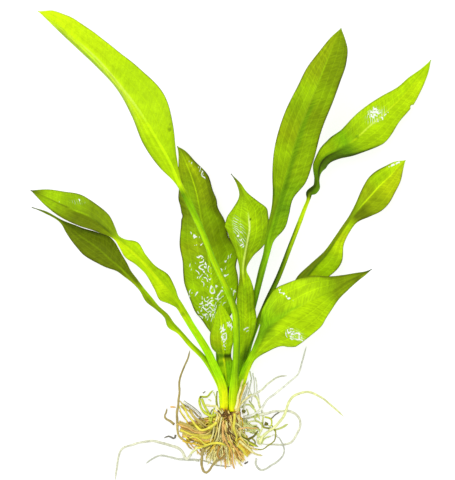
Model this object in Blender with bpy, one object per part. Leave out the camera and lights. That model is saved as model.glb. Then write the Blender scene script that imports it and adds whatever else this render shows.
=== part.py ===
"""Amazon sword plant, bare rooted, lying on a flat surface as lifted from the water.

Ten leaves, each one piece with its stalk, rise from a short crown. Eight dense root
tufts and thirteen long single roots spread from the crown over the surface.
The surface is z = 0. The leaves point along +Y and the roots along -Y. The part's origin is
on the flat underside of the crown. Lengths are millimetres, and the places in the tables
are measured from where the stalks meet the crown, a little in front of that origin.
"""

import math

import bmesh
import bpy
import numpy as np

MM = 0.001

# Driving dimensions, in millimetres
ORIGIN = np.array([0.0, -3.0, 0.0])  # where the part's own origin lies
BLADE_THICKNESS = 0.7  # a blade beside its midrib
MIDRIB_TIP_RADIUS = 0.45  # the midrib thins to this at a leaf's tip
STALK_FLATNESS = 0.82  # height of a stalk against its width
BLADE_BOW = 0.38  # how much of a margin's fall is reached half way out to it
LEAST_HALF_WIDTH = 0.25  # of a leaf, near its tip
LEAF_PITCH = 4.6  # between the sections of a leaf
LEAF_BASE_Y = 0.3  # where the stalks meet the crown
CROWN_GAP = 0.3  # between the crown and what grows from it
CROWN_WIDTH = 12.6
CROWN_LENGTH = 10.6
CROWN_HEIGHT = 16.5
CROWN_SINK = 3.0  # how much of its round underside is cut off flat
CROWN_SIDES = 12
ROOT_PITCH = 4.0  # between the sections of a root
ROOT_ROUNDNESS = 1  # the bevel resolution of a root
ROOT_TAPER = 0.6  # radius at a root's tip against its base
TUFT_CENTRE = np.array([0.0, -3.0, 0.0])  # what the tufts fan out from
TUFT_FOOT = 8.2  # from that centre to where a tuft begins
TUFT_FOOT_HEIGHT = 6.5  # half of its height there
TUFT_TIP_HEIGHT = 1.0  # and at its end
TUFT_FULL = 0.62  # the share of its length after which a tuft narrows
TUFT_BLUNTNESS = 0.28  # how wide its end still is, of the full width
TUFT_PITCH = 3.0  # between the sections of a tuft
TUFT_SIDES = 12
TUFT_RIDGE = 0.14  # how far the strands stand out of a tuft
TUFT_TWIST = 0.25  # how far they turn from section to section, in sides

# The crown from the leaves to its rear end: the share of its length, and its size there
CROWN_PROFILE = [(0.0, 0.96), (0.12, 1.0), (0.35, 1.0), (0.62, 0.9), (0.85, 0.68), (1.0, 0.36)]

# Each leaf, from its foot in the crown to its tip. A row is the midrib's x, y, z, the width
# left and right of it as seen from above, and how far each side tilts up (+) or down, in degrees.
LEAVES = {
    "leaf_arching": [
        (1.6, LEAF_BASE_Y, 14.4, 1.8, 1.8, 0, 0),
        (1.6, 3, 14.4, 2.3, 2.3, 0, 0),
        (1.6, 7, 14.5, 2.5, 2.5, 0, 0),
        (2, 13, 15, 2.4, 2.4, 0, 0),
        (3, 25, 17.8, 1.9, 1.9, 0, 0),
        (3.4, 43.5, 24, 1.8, 1.8, 0, 0),
        (2.6, 55, 29.5, 1.8, 1.8, 0, 0),
        (-0.5, 64.5, 34, 1.7, 1.7, 0, 0),
        (-4.8, 74, 38.5, 1.6, 1.6, 0, 0),
        (-8.8, 82.5, 43, 1.5, 1.5, 0, 0),
        (-13, 93.5, 47, 1.5, 1.5, 0, 0),
        (-18.6, 106.5, 50, 1.6, 1.6, 0, 0),
        (-23, 116, 52, 1.8, 1.8, 0, 0),
        (-26.5, 122.5, 53, 1.5, 1.5, -10, 0),
        (-31.5, 134, 55, 6, 4.1, -25, 5),
        (-39.5, 148, 55, 7.4, 11.2, -35, 5),
        (-47.5, 161, 53, 5, 15.6, -52, 0),
        (-58, 175, 48, 2.6, 13.8, -66, -5),
        (-69, 188, 42, 3.1, 10.6, -66, -8),
        (-80, 198.5, 35, 3.1, 9.2, -60, -8),
        (-91.5, 208.5, 27, 2.4, 7.2, -60, -5),
        (-98, 213.5, 22, 1.4, 4.6, -50, 0),
        (-104, 217.5, 17, 0, 0, -30, 0),
    ],
    "leaf_back": [
        (-3.8, LEAF_BASE_Y, 7, 1.5, 1.5, 0, 0),
        (-4.4, 8, 6.6, 1.6, 1.6, 0, 0),
        (-6, 28, 6, 1.6, 1.6, 0, 0),
        (-8, 41.5, 6, 1.6, 1.6, 0, 0),
        (-9, 47, 6.5, 4.4, 4.4, -5, -5),
        (-9, 52.5, 7, 8.8, 9.6, -10, -10),
        (-9.5, 60.5, 8, 12, 13, -14, -14),
        (-10, 71.5, 9, 15.2, 14.5, -18, -18),
        (-10.7, 77.3, 9.3, 15.1, 14.1, -19, -19),
        (-11.5, 83.5, 9.5, 14.6, 15.9, -20, -20),
        (-13.2, 93.5, 9, 14.7, 12.5, -18, -18),
        (-14.8, 101.5, 8.5, 12.6, 12.2, -15, -18),
        (-15.8, 106, 8.2, 11.2, 11, -15, -18),
        (-16.5, 110, 8, 10.3, 9.9, -15, -18),
        (-17.2, 114, 7.5, 10.3, 10, -14, -17),
        (-18, 118, 7, 10.5, 9.1, -12, -15),
        (-20.5, 126.5, 5.5, 7.9, 8.8, -8, -10),
        (-23.5, 134.5, 3.5, 5.2, 5, -5, -5),
        (-27, 142, 2, 1.6, 2, 0, 0),
        (-29, 145, 0.5, 0, 0, 0, 0),
    ],
    "leaf_pointed": [
        (0.3, LEAF_BASE_Y, 10.5, 1.5, 1.5, 0, 0),
        (1, 7, 9.6, 1.6, 1.6, 0, 0),
        (2.4, 14, 9.3, 1.8, 1.8, 0, 0),
        (4.6, 24, 11.1, 2.3, 2, 0, 0),
        (7, 33.5, 12.7, 2.7, 2.6, -5, -5),
        (8.5, 50, 16, 4.3, 6, -10, -22),
        (8.5, 58.5, 17, 5, 4.9, -10, -20),
        (8, 66.5, 18, 3.9, 4.8, -5, -15),
        (7.4, 71.8, 18.8, 2.6, 3.8, -3, -8),
        (7, 77, 19.5, 1.9, 2, 0, 0),
        (8, 85.5, 20.5, 5, 4.6, -10, -15),
        (9.5, 93.5, 22.5, 10.3, 9.8, -20, -30),
        (10.5, 100, 23.5, 13.6, 10.6, -25, -32),
        (10, 106.5, 23.1, 12, 10.7, -27, -30),
        (9.7, 109, 22.7, 10.6, 10.5, -28, -26),
        (9, 112.5, 21.5, 7.6, 7, -25, -20),
        (7.3, 118, 19.5, 2.6, 2.6, -20, -10),
        (4.6, 124, 17, 1.1, 1.1, 0, 0),
        (0.5, 129.5, 14, 0, 0, 0, 0),
    ],
    "leaf_tall": [
        (-0.5, LEAF_BASE_Y, 7, 1.4, 1.4, 0, 0),
        (0.9, 7, 6, 1.4, 1.4, 0, 0),
        (2.4, 13, 5.8, 1.5, 1.5, 0, 0),
        (5.2, 22.5, 7, 1.5, 1.5, 0, 0),
        (8.7, 39, 8, 1.5, 1.5, 0, 0),
        (11.5, 52.5, 10, 1.6, 1.5, 0, 0),
        (14, 62.5, 12.5, 1.8, 1.5, 0, 0),
        (17.5, 78, 18.5, 1.9, 1.9, 0, 0),
        (19.6, 86, 21.5, 1.8, 1.9, 0, 0),
        (20.9, 94, 24, 2, 3.1, 5, 0),
        (23, 102, 26.5, 2.7, 6.9, 10, -5),
        (25, 109.5, 28.5, 3, 7.1, 15, -8),
        (27.5, 117.5, 30, 4.9, 6.6, 15, -10),
        (30, 126.5, 32, 7.7, 10.6, 14, -12),
        (33, 138, 34, 10, 11.8, 12, -14),
        (38.5, 156, 35, 10.7, 11.2, 8, -16),
        (45.5, 172.5, 33.5, 9.9, 10.8, 4, -18),
        (49, 182, 31.5, 8.8, 10.8, 2, -18),
        (53.5, 193, 28, 5.7, 10, 0, -15),
        (57, 201.5, 24.5, 3, 6.8, 0, -10),
        (60, 208, 21, 0, 0, 0, 0),
    ],
    "leaf_kinked": [
        (2.6, LEAF_BASE_Y, 7, 1.3, 1.3, 0, 0),
        (4, 7, 6.5, 1.3, 1.3, 0, 0),
        (5.8, 13, 6.2, 1.4, 1.4, 0, 0),
        (7.5, 19.5, 6, 1.4, 1.4, 0, 0),
        (11, 37, 6.2, 1.4, 1.4, 0, 0),
        (14.4, 46.5, 6.8, 1.4, 1.4, 0, 0),
        (19.6, 58.5, 8, 1.6, 1.4, 0, 0),
        (26.6, 74, 11, 1.4, 1.4, 0, 0),
        (32.5, 89.5, 14, 1.3, 1.3, 0, 0),
        (38.4, 105, 16.8, 1.2, 1.2, 0, 0),
        (40.4, 110.4, 17.5, 1.1, 1.1, 0, 0),
        (42.6, 116.4, 18.5, 1.2, 1.2, 0, 0),
        (43, 118.7, 19.4, 2, 1.7, 10, -10),
        (44.6, 120.4, 20.3, 1.9, 2.7, 25, -25),
        (46.5, 122.3, 20.5, 1.7, 2.4, 30, -30),
        (47.2, 124.9, 20, 1.8, 1.2, 25, -25),
        (47.1, 127.4, 19.4, 1.6, 1.5, 20, -20),
        (47.2, 130.4, 18.6, 2.2, 2.5, 15, -35),
        (47.9, 133.7, 18, 3.1, 4.3, 12, -36),
        (49.4, 136.8, 17.7, 3.5, 4.6, 10, -36),
        (52, 139.3, 17.4, 5.1, 4.6, 8, -36),
        (57, 142, 17, 7.3, 5, 5, -38),
        (65, 146, 16.5, 8.7, 7.2, 0, -30),
        (76, 155.5, 15.5, 9.7, 12.2, -3, -18),
        (87, 165, 13, 8.4, 8.8, -5, -15),
        (95.5, 173, 10, 5.7, 7.2, -5, -12),
        (101, 179.5, 7, 4.4, 5.2, -3, -8),
        (106.5, 186.5, 3.5, 1.9, 2.7, 0, -3),
        (110.5, 192.5, 0.8, 0, 0, 0, 0),
    ],
    "leaf_oval": [
        (3, LEAF_BASE_Y, 3.7, 1.1, 1.1, 0, 0),
        (5, 7, 3.6, 1.1, 1.1, 0, 0),
        (7.2, 14, 3.4, 1.2, 1.2, 0, 0),
        (9.6, 22.5, 3.7, 1.3, 1.3, 0, 0),
        (13, 30, 4.6, 1.4, 1.4, 0, 0),
        (19.5, 41.5, 6, 1.5, 1.5, 0, 0),
        (27.5, 54, 7.5, 1.7, 1.7, 0, 0),
        (35, 65, 9.5, 2.7, 3.3, -5, -8),
        (40, 71, 11, 4.2, 7.6, -10, -12),
        (46, 78.5, 12.5, 3, 9.1, -20, -14),
        (53, 86.5, 13.5, 1.9, 9.5, -30, -14),
        (57.6, 93.5, 14, 1.5, 5.1, -30, -10),
        (62, 100, 14, 1.5, 3.8, -10, -5),
        (66, 105.5, 14, 1.7, 4, 0, -5),
        (70.5, 111, 14, 3.2, 7.3, 5, -8),
        (76, 117, 13.5, 6, 10.2, 5, -12),
        (81.5, 123, 12, 7.5, 9.7, 3, -14),
        (87.5, 128.5, 9, 6.4, 6.8, 0, -10),
        (92, 133.5, 5, 3.8, 3.8, 0, -5),
        (96.4, 137.3, 0.8, 0, 0, 0, 0),
    ],
    "leaf_broad": [
        (3.6, LEAF_BASE_Y, 10.5, 1.6, 1.6, 0, 0),
        (4.2, 7.5, 11.2, 1.8, 1.8, 0, 0),
        (4.9, 13.5, 11.8, 2, 2, 0, 0),
        (7, 19, 13, 2.2, 2.2, 0, 0),
        (9, 24, 14.4, 2.2, 2.2, 0, 0),
        (11.5, 29, 16, 2, 2.1, 0, 0),
        (15, 36.5, 19.5, 2.2, 7.2, -5, -8),
        (18.5, 43.5, 22, 3.4, 14.3, -8, -12),
        (24, 49.5, 25, 9.8, 17.7, -12, -14),
        (30.5, 53.5, 27, 14.7, 17.5, -14, -15),
        (37, 57, 28.5, 14.9, 16, -14, -16),
        (43.5, 61, 29, 13.4, 14.1, -14, -16),
        (49.5, 64, 28.5, 11.5, 10.1, -12, -14),
        (55.5, 67, 27, 7.9, 6.2, -10, -10),
        (62, 70.5, 24.5, 4.5, 4.2, -8, -8),
        (68.5, 73.5, 21, 2.4, 2.2, -5, -5),
        (73.5, 75.7, 18, 0.9, 0.9, 0, 0),
        (76.8, 77.6, 16, 0, 0, 0, 0),
    ],
    "leaf_waisted": [
        (-3, LEAF_BASE_Y, 14.4, 1.6, 1.6, 0, 0),
        (-3, 3, 14.4, 1.9, 1.9, 0, 0),
        (-3.1, 7, 14.5, 2, 1.9, 0, 0),
        (-3.6, 12.5, 14.8, 2.1, 2.1, 0, 0),
        (-5.7, 19, 15.6, 2.1, 2.1, 0, 0),
        (-8, 24, 16.5, 2.1, 2.1, 0, 0),
        (-11.6, 32, 19, 2.1, 2.1, 0, 0),
        (-16.2, 40, 22, 2, 2, 0, 0),
        (-20.9, 47.5, 24.5, 1.9, 1.9, 0, 0),
        (-24.7, 54, 26.5, 2, 2, 0, 0),
        (-27.4, 58.5, 27.8, 2.2, 2, -3, -3),
        (-29.5, 61.5, 28.5, 4, 2.2, -5, -5),
        (-32, 65, 29.5, 6.7, 3.6, -10, -5),
        (-37.5, 71, 31, 4.7, 5.9, -12, -8),
        (-43, 77.5, 32, 3.2, 3.7, -12, -10),
        (-48, 83, 33, 3.7, 4, -12, -10),
        (-53.5, 88, 33, 4.5, 5.9, -12, -12),
        (-58, 92, 33, 2.4, 2.7, -10, -10),
        (-60.5, 94.5, 32.5, 1.6, 1.6, 0, -5),
        (-63.5, 97, 32, 2.1, 3.5, -15, -5),
        (-68.5, 101, 31, 4.2, 6.6, -20, -5),
        (-75, 106, 28.5, 6.8, 7.4, -22, -3),
        (-83.5, 109.5, 25, 7, 9, -22, 0),
        (-92, 113, 21, 5.9, 7.2, -18, 3),
        (-100.5, 117, 16.5, 3.5, 4.4, -12, 5),
        (-108.5, 120.5, 12.5, 0, 0, 0, 0),
    ],
    "leaf_shaded": [
        (-4.6, LEAF_BASE_Y, 10.5, 1.1, 1.1, 0, 0),
        (-4.7, 7, 10.2, 1.2, 1.2, 0, 0),
        (-5.6, 13, 10.2, 1.3, 1.3, 0, 0),
        (-8.7, 20, 10.8, 1.3, 1.3, 0, 0),
        (-14.5, 29.5, 12.5, 1.4, 1.4, 0, 0),
        (-21.4, 36.5, 14.2, 1.4, 1.4, 0, 0),
        (-28, 44, 16, 1.4, 1.4, 0, 0),
        (-31.4, 48, 17, 3, 1.2, -25, -5),
        (-34.1, 52, 17.5, 1.7, 1.2, -25, -5),
        (-39.5, 57, 18, 1.4, 1.2, -10, -5),
        (-43.4, 61.5, 18, 2.6, 1.4, -20, -5),
        (-48, 67, 18, 1.4, 1.4, -10, -5),
        (-52, 71.5, 18, 1.6, 1.9, -5, -5),
        (-56, 75, 18, 1.9, 3, -8, -8),
        (-59.5, 78.5, 17.5, 2.7, 4.6, -10, -8),
        (-65, 83, 17, 5.2, 7.2, -12, -12),
        (-70.5, 88, 16, 7.2, 8.8, -14, -14),
        (-76, 92, 14, 7.5, 6.9, -14, -14),
        (-81.5, 95.5, 11.5, 5.7, 4.9, -12, -12),
        (-87.5, 100, 8.5, 3.3, 2.7, -8, -8),
        (-91.5, 103, 6, 1.2, 1.2, 0, 0),
        (-102, 109, 2, 0.6, 0.6, 0, 0),
        (-109, 111.5, 0.8, 0, 0, 0, 0),
    ],
    "leaf_young": [
        (-2.35, LEAF_BASE_Y, 10.5, 0.85, 0.85, 0, 0),
        (-2, 7, 10.6, 1, 1, 0, 0),
        (-1.8, 13, 11, 1.4, 1.4, 0, 0),
        (-2.5, 22.5, 12, 3, 3.6, 5, 3),
        (-3, 26, 12.8, 4.1, 4.7, 8, 3),
        (-3.5, 29.5, 13.6, 2.6, 4.2, -5, -5),
        (-3.5, 32, 15.4, 3.8, 4.2, -15, -15),
        (-4, 36, 19, 6.2, 5.6, -22, -22),
        (-4.5, 41, 20.5, 6.5, 6.4, -25, -25),
        (-4.5, 46.5, 21, 5.4, 6.5, -25, -25),
        (-5, 52, 20.5, 3.5, 5, -20, -20),
        (-5, 56, 19.5, 1.7, 2.4, -10, -10),
        (-5, 59.5, 18, 0, 0, 0, 0),
    ],
}

# The dense bunches of fine roots, fanned about the crown: the direction each grows in and half
# the angle it fills, in degrees, and how far it reaches from the crown's middle.
TUFTS = {
    "root_tuft_left": (-163.2, 6.1, 30.5),
    "root_tuft_left_low": (-148.8, 6.1, 28.9),
    "root_tuft_lower_left": (-132.4, 8.1, 28.3),
    "root_tuft_bottom_left": (-113.1, 9.0, 31.1),
    "root_tuft_bottom": (-93.8, 8.1, 29.3),
    "root_tuft_bottom_right": (-76.9, 6.6, 29.2),
    "root_tuft_lower_right": (-60.1, 8.0, 26.0),
    "root_tuft_right": (-28, 9.0, 23.3),
}

# The long single roots: the radius at the foot, then the x, y, z of points along each.
ROOTS = {
    "root_right_long": (0.8, [
        (21.3, -11, 4.6), (24.8, -8.8, 5), (27, -6, 5.3), (29.2, -3.3, 5.2), (30.6, -0.3, 5),
        (31.4, 2.8, 4.7), (32.7, 5.5, 4.2), (35, 8, 3.4), (38.5, 9.4, 2.6), (43, 10, 2),
        (50, 7, 1.2), (57, 1.5, 0.9), (62.5, -3.5, 0.9),
    ]),
    "root_right_upper": (0.7, [
        (7.3, -1.6, 9.5), (7.6, 2.4, 9), (8.9, 6.4, 8.4), (11, 8, 7.6), (14.3, 9.4, 6),
        (17.9, 12, 4.6), (21.3, 15, 3), (24.8, 17.6, 1.8), (28, 18.7, 1.1), (31.6, 18.9, 0.8),
    ]),
    "root_right_pale": (0.7, [
        (7.3, -3.2, 7.5), (12, -2.2, 7.2), (14.5, -0.8, 6.9), (17.6, 1.7, 6.3),
        (20.6, 6.2, 5.8), (24.8, 9.4, 5.2), (29.7, 13.2, 4.4), (33.3, 16.5, 3.8),
        (37.1, 19.6, 3.1), (39.6, 26.6, 1.6), (42, 35, 0.8),
    ]),
    "root_right_loop": (0.8, [
        (7.2, -4.7, 5), (13, -3, 4.6), (19.2, -1.7, 4), (23.4, -0.6, 3.4), (28, -0.3, 2.6),
        (32.7, -0.6, 1.6), (36.1, -2, 1.1), (38.2, -4.8, 0.9), (38.5, -8.2, 0.9),
        (37.4, -11.6, 0.9), (35.8, -15, 0.9), (33, -17.9, 0.9), (29.7, -18.9, 0.9),
        (25.3, -18.9, 0.9), (21.3, -18.9, 0.9), (17.8, -18.6, 0.9),
    ]),
    "root_lower_right_loop": (0.6, [
        (14.5, -26.6, 1.3), (14.1, -29, 0.9), (15.1, -31.6, 0.7), (17, -33, 0.7),
        (19.6, -32.3, 0.7), (23.1, -30.2, 0.7), (26.4, -27.8, 1), (29.2, -24.4, 1.9),
        (29.9, -21.7, 2.6), (29.2, -19, 3.2), (28, -16.8, 3.2), (26.6, -14.8, 3),
        (24.4, -14.2, 2.6),
    ]),
    "root_left_long": (0.8, [
        (-21.4, -24, 2.8), (-22.4, -25.6, 2.8), (-23.7, -26.8, 2.8), (-24.6, -26.2, 2.7),
        (-25.7, -23.6, 2.2), (-27.5, -21.4, 1.7), (-29.7, -20.2, 1.3), (-32.7, -19.5, 0.9),
        (-35.8, -18.6, 0.9), (-44, -17, 0.9), (-52, -18.5, 0.9), (-60, -22, 0.9),
        (-62, -30, 0.9), (-63, -38.5, 0.9),
    ]),
    "root_lower_left_long": (0.7, [
        (-16.8, -27.8, 0.8), (-18.7, -27.5, 0.8), (-23.5, -27.2, 0.8), (-28.4, -26.9, 0.8),
        (-32.7, -25.9, 0.8), (-35.8, -25, 0.8), (-39, -25.2, 0.8), (-42, -26.3, 0.8),
        (-46.4, -29.5, 0.8),
    ]),
    "root_left_rising": (0.7, [
        (-28.9, -7.4, 4.2), (-29, -4, 6), (-28.9, -1, 6.6), (-28.4, 3, 6.4), (-28, 8, 5.6),
        (-27.8, 12, 5), (-27.6, 16.5, 3.8), (-26, 22, 2.4), (-23.5, 27.5, 1.4), (-22, 33, 0.8),
    ]),
    "root_left_strand": (0.75, [
        (-7.2, -5.6, 14), (-11, -8.6, 12.8), (-14, -9.8, 11.4), (-16.2, -9.8, 10.4),
        (-18.7, -7.9, 9.6), (-20.5, -5.2, 9), (-22.9, -2.4, 8.4), (-24.5, 1.1, 7.8),
        (-26.2, 4.2, 7.2),
    ]),
    "root_left_hook": (0.7, [
        (-30.7, -7.6, 3.4), (-32.7, -6, 2.2), (-35, -4.8, 1.4), (-35.9, -3.6, 1),
        (-35.2, -1.4, 0.8), (-34.6, 1.1, 0.8),
    ]),
    "root_left_low": (0.6, [
        (-29.9, -13.6, 1.8), (-30.6, -15.6, 1.3), (-31.8, -15.4, 1), (-33.3, -14.4, 0.8),
        (-35.1, -14.7, 0.7), (-36.4, -15.4, 0.7),
    ]),
    "root_left_hump": (0.8, [
        (-7.4, -1.6, 10.4), (-10.6, -2.6, 9.8), (-12.4, -2, 8.8), (-14.6, 0, 7.2),
        (-16.2, 2.8, 5.6), (-16.8, 5.5, 4.2), (-16.1, 7.6, 3), (-14.3, 7.4, 2.2),
        (-12.4, 7.6, 1.6), (-10.8, 9.4, 1.2), (-9.1, 11, 1),
    ]),
    "root_bottom_loop": (0.8, [
        (-14.4, -20.4, 7), (-15.3, -24.4, 5.2), (-15.6, -27.5, 3.8), (-15.3, -31.2, 2.8),
        (-14.4, -33.9, 2.4), (-13.2, -34.4, 2.6), (-11.3, -32.7, 3.6), (-9.8, -30.2, 4.6),
        (-7.7, -28, 5.8), (-5.8, -26.9, 6.4), (-3.4, -25.7, 7.2), (-2.4, -23.4, 8.2),
    ]),
}

# Base colour and roughness of each material
LEAF_COLOURS = {
    "leaf_arching": (0.42, 0.72, 0.02),
    "leaf_back": (0.16, 0.26, 0.01),
    "leaf_pointed": (0.30, 0.55, 0.02),
    "leaf_tall": (0.24, 0.44, 0.01),
    "leaf_kinked": (0.40, 0.70, 0.02),
    "leaf_oval": (0.30, 0.54, 0.02),
    "leaf_broad": (0.38, 0.68, 0.02),
    "leaf_waisted": (0.34, 0.58, 0.02),
    "leaf_shaded": (0.11, 0.17, 0.01),
    "leaf_young": (0.20, 0.36, 0.01),
}
CROWN_COLOUR = (0.45, 0.30, 0.06)
TUFT_COLOUR = (0.48, 0.30, 0.09)
ROOT_COLOUR = (0.70, 0.66, 0.38)
LEAF_ROUGHNESS = 0.35
ROOT_ROUGHNESS = 0.55


def smooth_rows(rows, count):
    """The rows, read at count places from first to last along one smooth curve through them."""
    table = np.array(rows, float)
    steps = np.linalg.norm(np.diff(table[:, :3], axis=0), axis=1)
    along = np.concatenate([[0.0], np.cumsum(steps)])
    slopes = np.gradient(table, along, axis=0)
    at = np.linspace(0.0, along[-1], count)
    cell = np.clip(np.searchsorted(along, at, side="right") - 1, 0, len(steps) - 1)
    span = steps[cell][:, None]
    t = ((at - along[cell]) / steps[cell])[:, None]
    return (
        (2 * t**3 - 3 * t**2 + 1) * table[cell]
        + (t**3 - 2 * t**2 + t) * span * slopes[cell]
        + (3 * t**2 - 2 * t**3) * table[cell + 1]
        + (t**3 - t**2) * span * slopes[cell + 1]
    )


def length_of(rows):
    points = np.array([row[:3] for row in rows], float)
    return float(np.linalg.norm(np.diff(points, axis=0), axis=1).sum())


def frames(centres):
    """The sideways (right of the way it grows) and upward directions at each point."""
    forward = np.gradient(centres, axis=0)
    forward /= np.linalg.norm(forward, axis=1)[:, None]
    side = np.stack([forward[:, 1], -forward[:, 0], np.zeros(len(forward))], axis=1)
    side /= np.linalg.norm(side, axis=1)[:, None]
    return side, np.cross(side, forward)


def skin(name, rings, tip=None):
    """A closed mesh through rings of equal length, ending in a point or in a flat cap."""
    form = bmesh.new()
    loops = [[form.verts.new((point - ORIGIN) * MM) for point in ring] for ring in rings]
    count = len(loops[0])
    for lower, upper in zip(loops, loops[1:]):
        for i in range(count):
            j = (i + 1) % count
            form.faces.new((lower[i], lower[j], upper[j], upper[i]))
    form.faces.new(loops[0][::-1])
    if tip is None:
        form.faces.new(loops[-1])
    else:
        end = form.verts.new((tip - ORIGIN) * MM)
        for i in range(count):
            form.faces.new((loops[-1][i], loops[-1][(i + 1) % count], end))
    bmesh.ops.recalc_face_normals(form, faces=form.faces)
    mesh = bpy.data.meshes.new(name)
    form.to_mesh(mesh)
    form.free()
    mesh.shade_smooth()
    piece = bpy.data.objects.new(name, mesh)
    bpy.context.scene.collection.objects.link(piece)
    return piece


def material(name, colour, roughness):
    made = bpy.data.materials.new(name)
    made.use_nodes = True
    shader = made.node_tree.nodes["Principled BSDF"]
    shader.inputs["Base Color"].default_value = (*colour, 1)
    shader.inputs["Roughness"].default_value = roughness
    shader.inputs["Metallic"].default_value = 0
    return made


def half_thickness(across, radius):
    """Half the height of a leaf this far out from the middle of its midrib."""
    inside = max(0.0, 1 - (across / radius) ** 2)
    return max(BLADE_THICKNESS / 2 * min(1, across), radius * STALK_FLATNESS * math.sqrt(inside))


def leaf_section(centre, side, up, widths, tilts, radius):
    """The ring of eight points round a leaf at one place, from its left margin over its top."""
    halves = []
    for sign, width, tilt in zip((-1, 1), widths, tilts):
        fall = np.array([0, 0, width * math.tan(math.radians(tilt))])
        margin = centre + side * sign * width + fall
        between = centre + side * sign * width / 2 + fall * BLADE_BOW
        halves.append((margin, between, up * half_thickness(width / 2, radius)))
    (left, left_between, left_lift), (right, right_between, right_lift) = halves
    rib = up * radius * STALK_FLATNESS
    return [
        left, left_between + left_lift, centre + rib, right_between + right_lift,
        right, right_between - right_lift, centre - rib, left_between - left_lift,
    ]


def leaf(name, rows):
    """A leaf and its stalk: a round stalk that flattens into a blade with a raised midrib."""
    count = round(length_of(rows) / LEAF_PITCH)
    stations = smooth_rows(rows, count)
    centres = stations[:, :3]
    side, up = frames(centres)
    side[0], up[0] = (1, 0, 0), (0, 0, 1)
    foot_radius = rows[0][3]
    rings = []
    for i in range(count - 1):
        widths = np.maximum(stations[i, 3:5], LEAST_HALF_WIDTH)
        radius = foot_radius + (MIDRIB_TIP_RADIUS - foot_radius) * i / (count - 1)
        radius = min(radius, widths.mean())
        rings.append(leaf_section(centres[i], side[i], up[i], widths, stations[i, 5:7], radius))
    piece = skin(name, rings, tip=centres[-1])
    piece.data.materials.append(material(name, LEAF_COLOURS[name], LEAF_ROUGHNESS))


def crown():
    """The short rootstock: a rounded block, flat where it rests and where the stalks join it."""
    middle = (CROWN_HEIGHT - CROWN_SINK) / 2
    half_width, half_height = CROWN_WIDTH / 2, (CROWN_HEIGHT + CROWN_SINK) / 2
    rings = []
    for share, swell in CROWN_PROFILE:
        ring = []
        for k in range(CROWN_SIDES):
            angle = 2 * math.pi * (k + 0.5) / CROWN_SIDES
            x = half_width * swell * math.cos(angle)
            y = LEAF_BASE_Y - CROWN_GAP - share * CROWN_LENGTH
            z = middle + half_height * swell * math.sin(angle)
            ring.append(np.array([x, y, max(0.0, z)]))
        rings.append(ring)
    piece = skin("crown", rings)
    piece.data.materials.append(material("crown", CROWN_COLOUR, ROOT_ROUGHNESS))


def tuft(name, direction, half_angle, reach):
    """A bunch of fine roots that widens from the crown to its round end, ridged by its strands."""
    count = round((reach - TUFT_FOOT) / TUFT_PITCH) + 2
    outward = np.array([math.cos(math.radians(direction)), math.sin(math.radians(direction)), 0])
    across = np.array([outward[1], -outward[0], 0])
    rings = []
    for i in range(count):
        share = i / (count - 1)
        out = TUFT_FOOT + (reach - TUFT_FOOT) * share
        past = max(0.0, share - TUFT_FULL) / (1 - TUFT_FULL)
        rounding = math.sqrt(1 - (1 - TUFT_BLUNTNESS**2) * past**2)
        wide = out * math.tan(math.radians(half_angle)) * rounding
        high = TUFT_FOOT_HEIGHT + (TUFT_TIP_HEIGHT - TUFT_FOOT_HEIGHT) * share
        middle = TUFT_CENTRE + outward * out + np.array([0, 0, high + CROWN_GAP])
        ring = []
        for k in range(TUFT_SIDES):
            angle = 2 * math.pi * (k + TUFT_TWIST * i) / TUFT_SIDES
            ridge = 1 - TUFT_RIDGE * (k % 2)
            sideways = across * wide * math.cos(angle)
            upwards = np.array([0, 0, high * math.sin(angle)])
            ring.append(middle + ridge * (sideways + upwards))
        rings.append(ring)
    piece = skin(name, rings)
    piece.data.materials.append(material(name, TUFT_COLOUR, ROOT_ROUGHNESS))


def root(name, radius, points):
    """A single root: a thin round strand that tapers to its tip."""
    count = round(length_of(points) / ROOT_PITCH) + 1
    path = smooth_rows(points, count)
    curve = bpy.data.curves.new(name, "CURVE")
    curve.dimensions = "3D"
    curve.bevel_depth = radius * MM
    curve.bevel_resolution = ROOT_ROUNDNESS
    curve.use_fill_caps = True
    spline = curve.splines.new("POLY")
    spline.points.add(count - 1)
    for i, point in enumerate(path):
        spline.points[i].co = (*((point - ORIGIN) * MM), 1)
        spline.points[i].radius = 1 - (1 - ROOT_TAPER) * i / (count - 1)
    curve.materials.append(material(name, ROOT_COLOUR, ROOT_ROUGHNESS))
    piece = bpy.data.objects.new(name, curve)
    bpy.context.scene.collection.objects.link(piece)


def main():
    for old in list(bpy.data.objects):
        bpy.data.objects.remove(old, do_unlink=True)
    crown()
    for name, rows in LEAVES.items():
        leaf(name, rows)
    for name, (direction, half_angle, reach) in TUFTS.items():
        tuft(name, direction, half_angle, reach)
    for name, (radius, points) in ROOTS.items():
        root(name, radius, points)


main()
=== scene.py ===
"""Looks of a bare rooted amazon sword plant that lies on a pale surface, seen from above.

Each leaf, the crown, each tuft of roots and each long root is a fine mesh in the place of
its plain solid. Lengths are millimetres, and places are measured from where the stalks meet
the crown, until a mesh or the camera is made.
"""

import math
from collections import namedtuple

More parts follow.
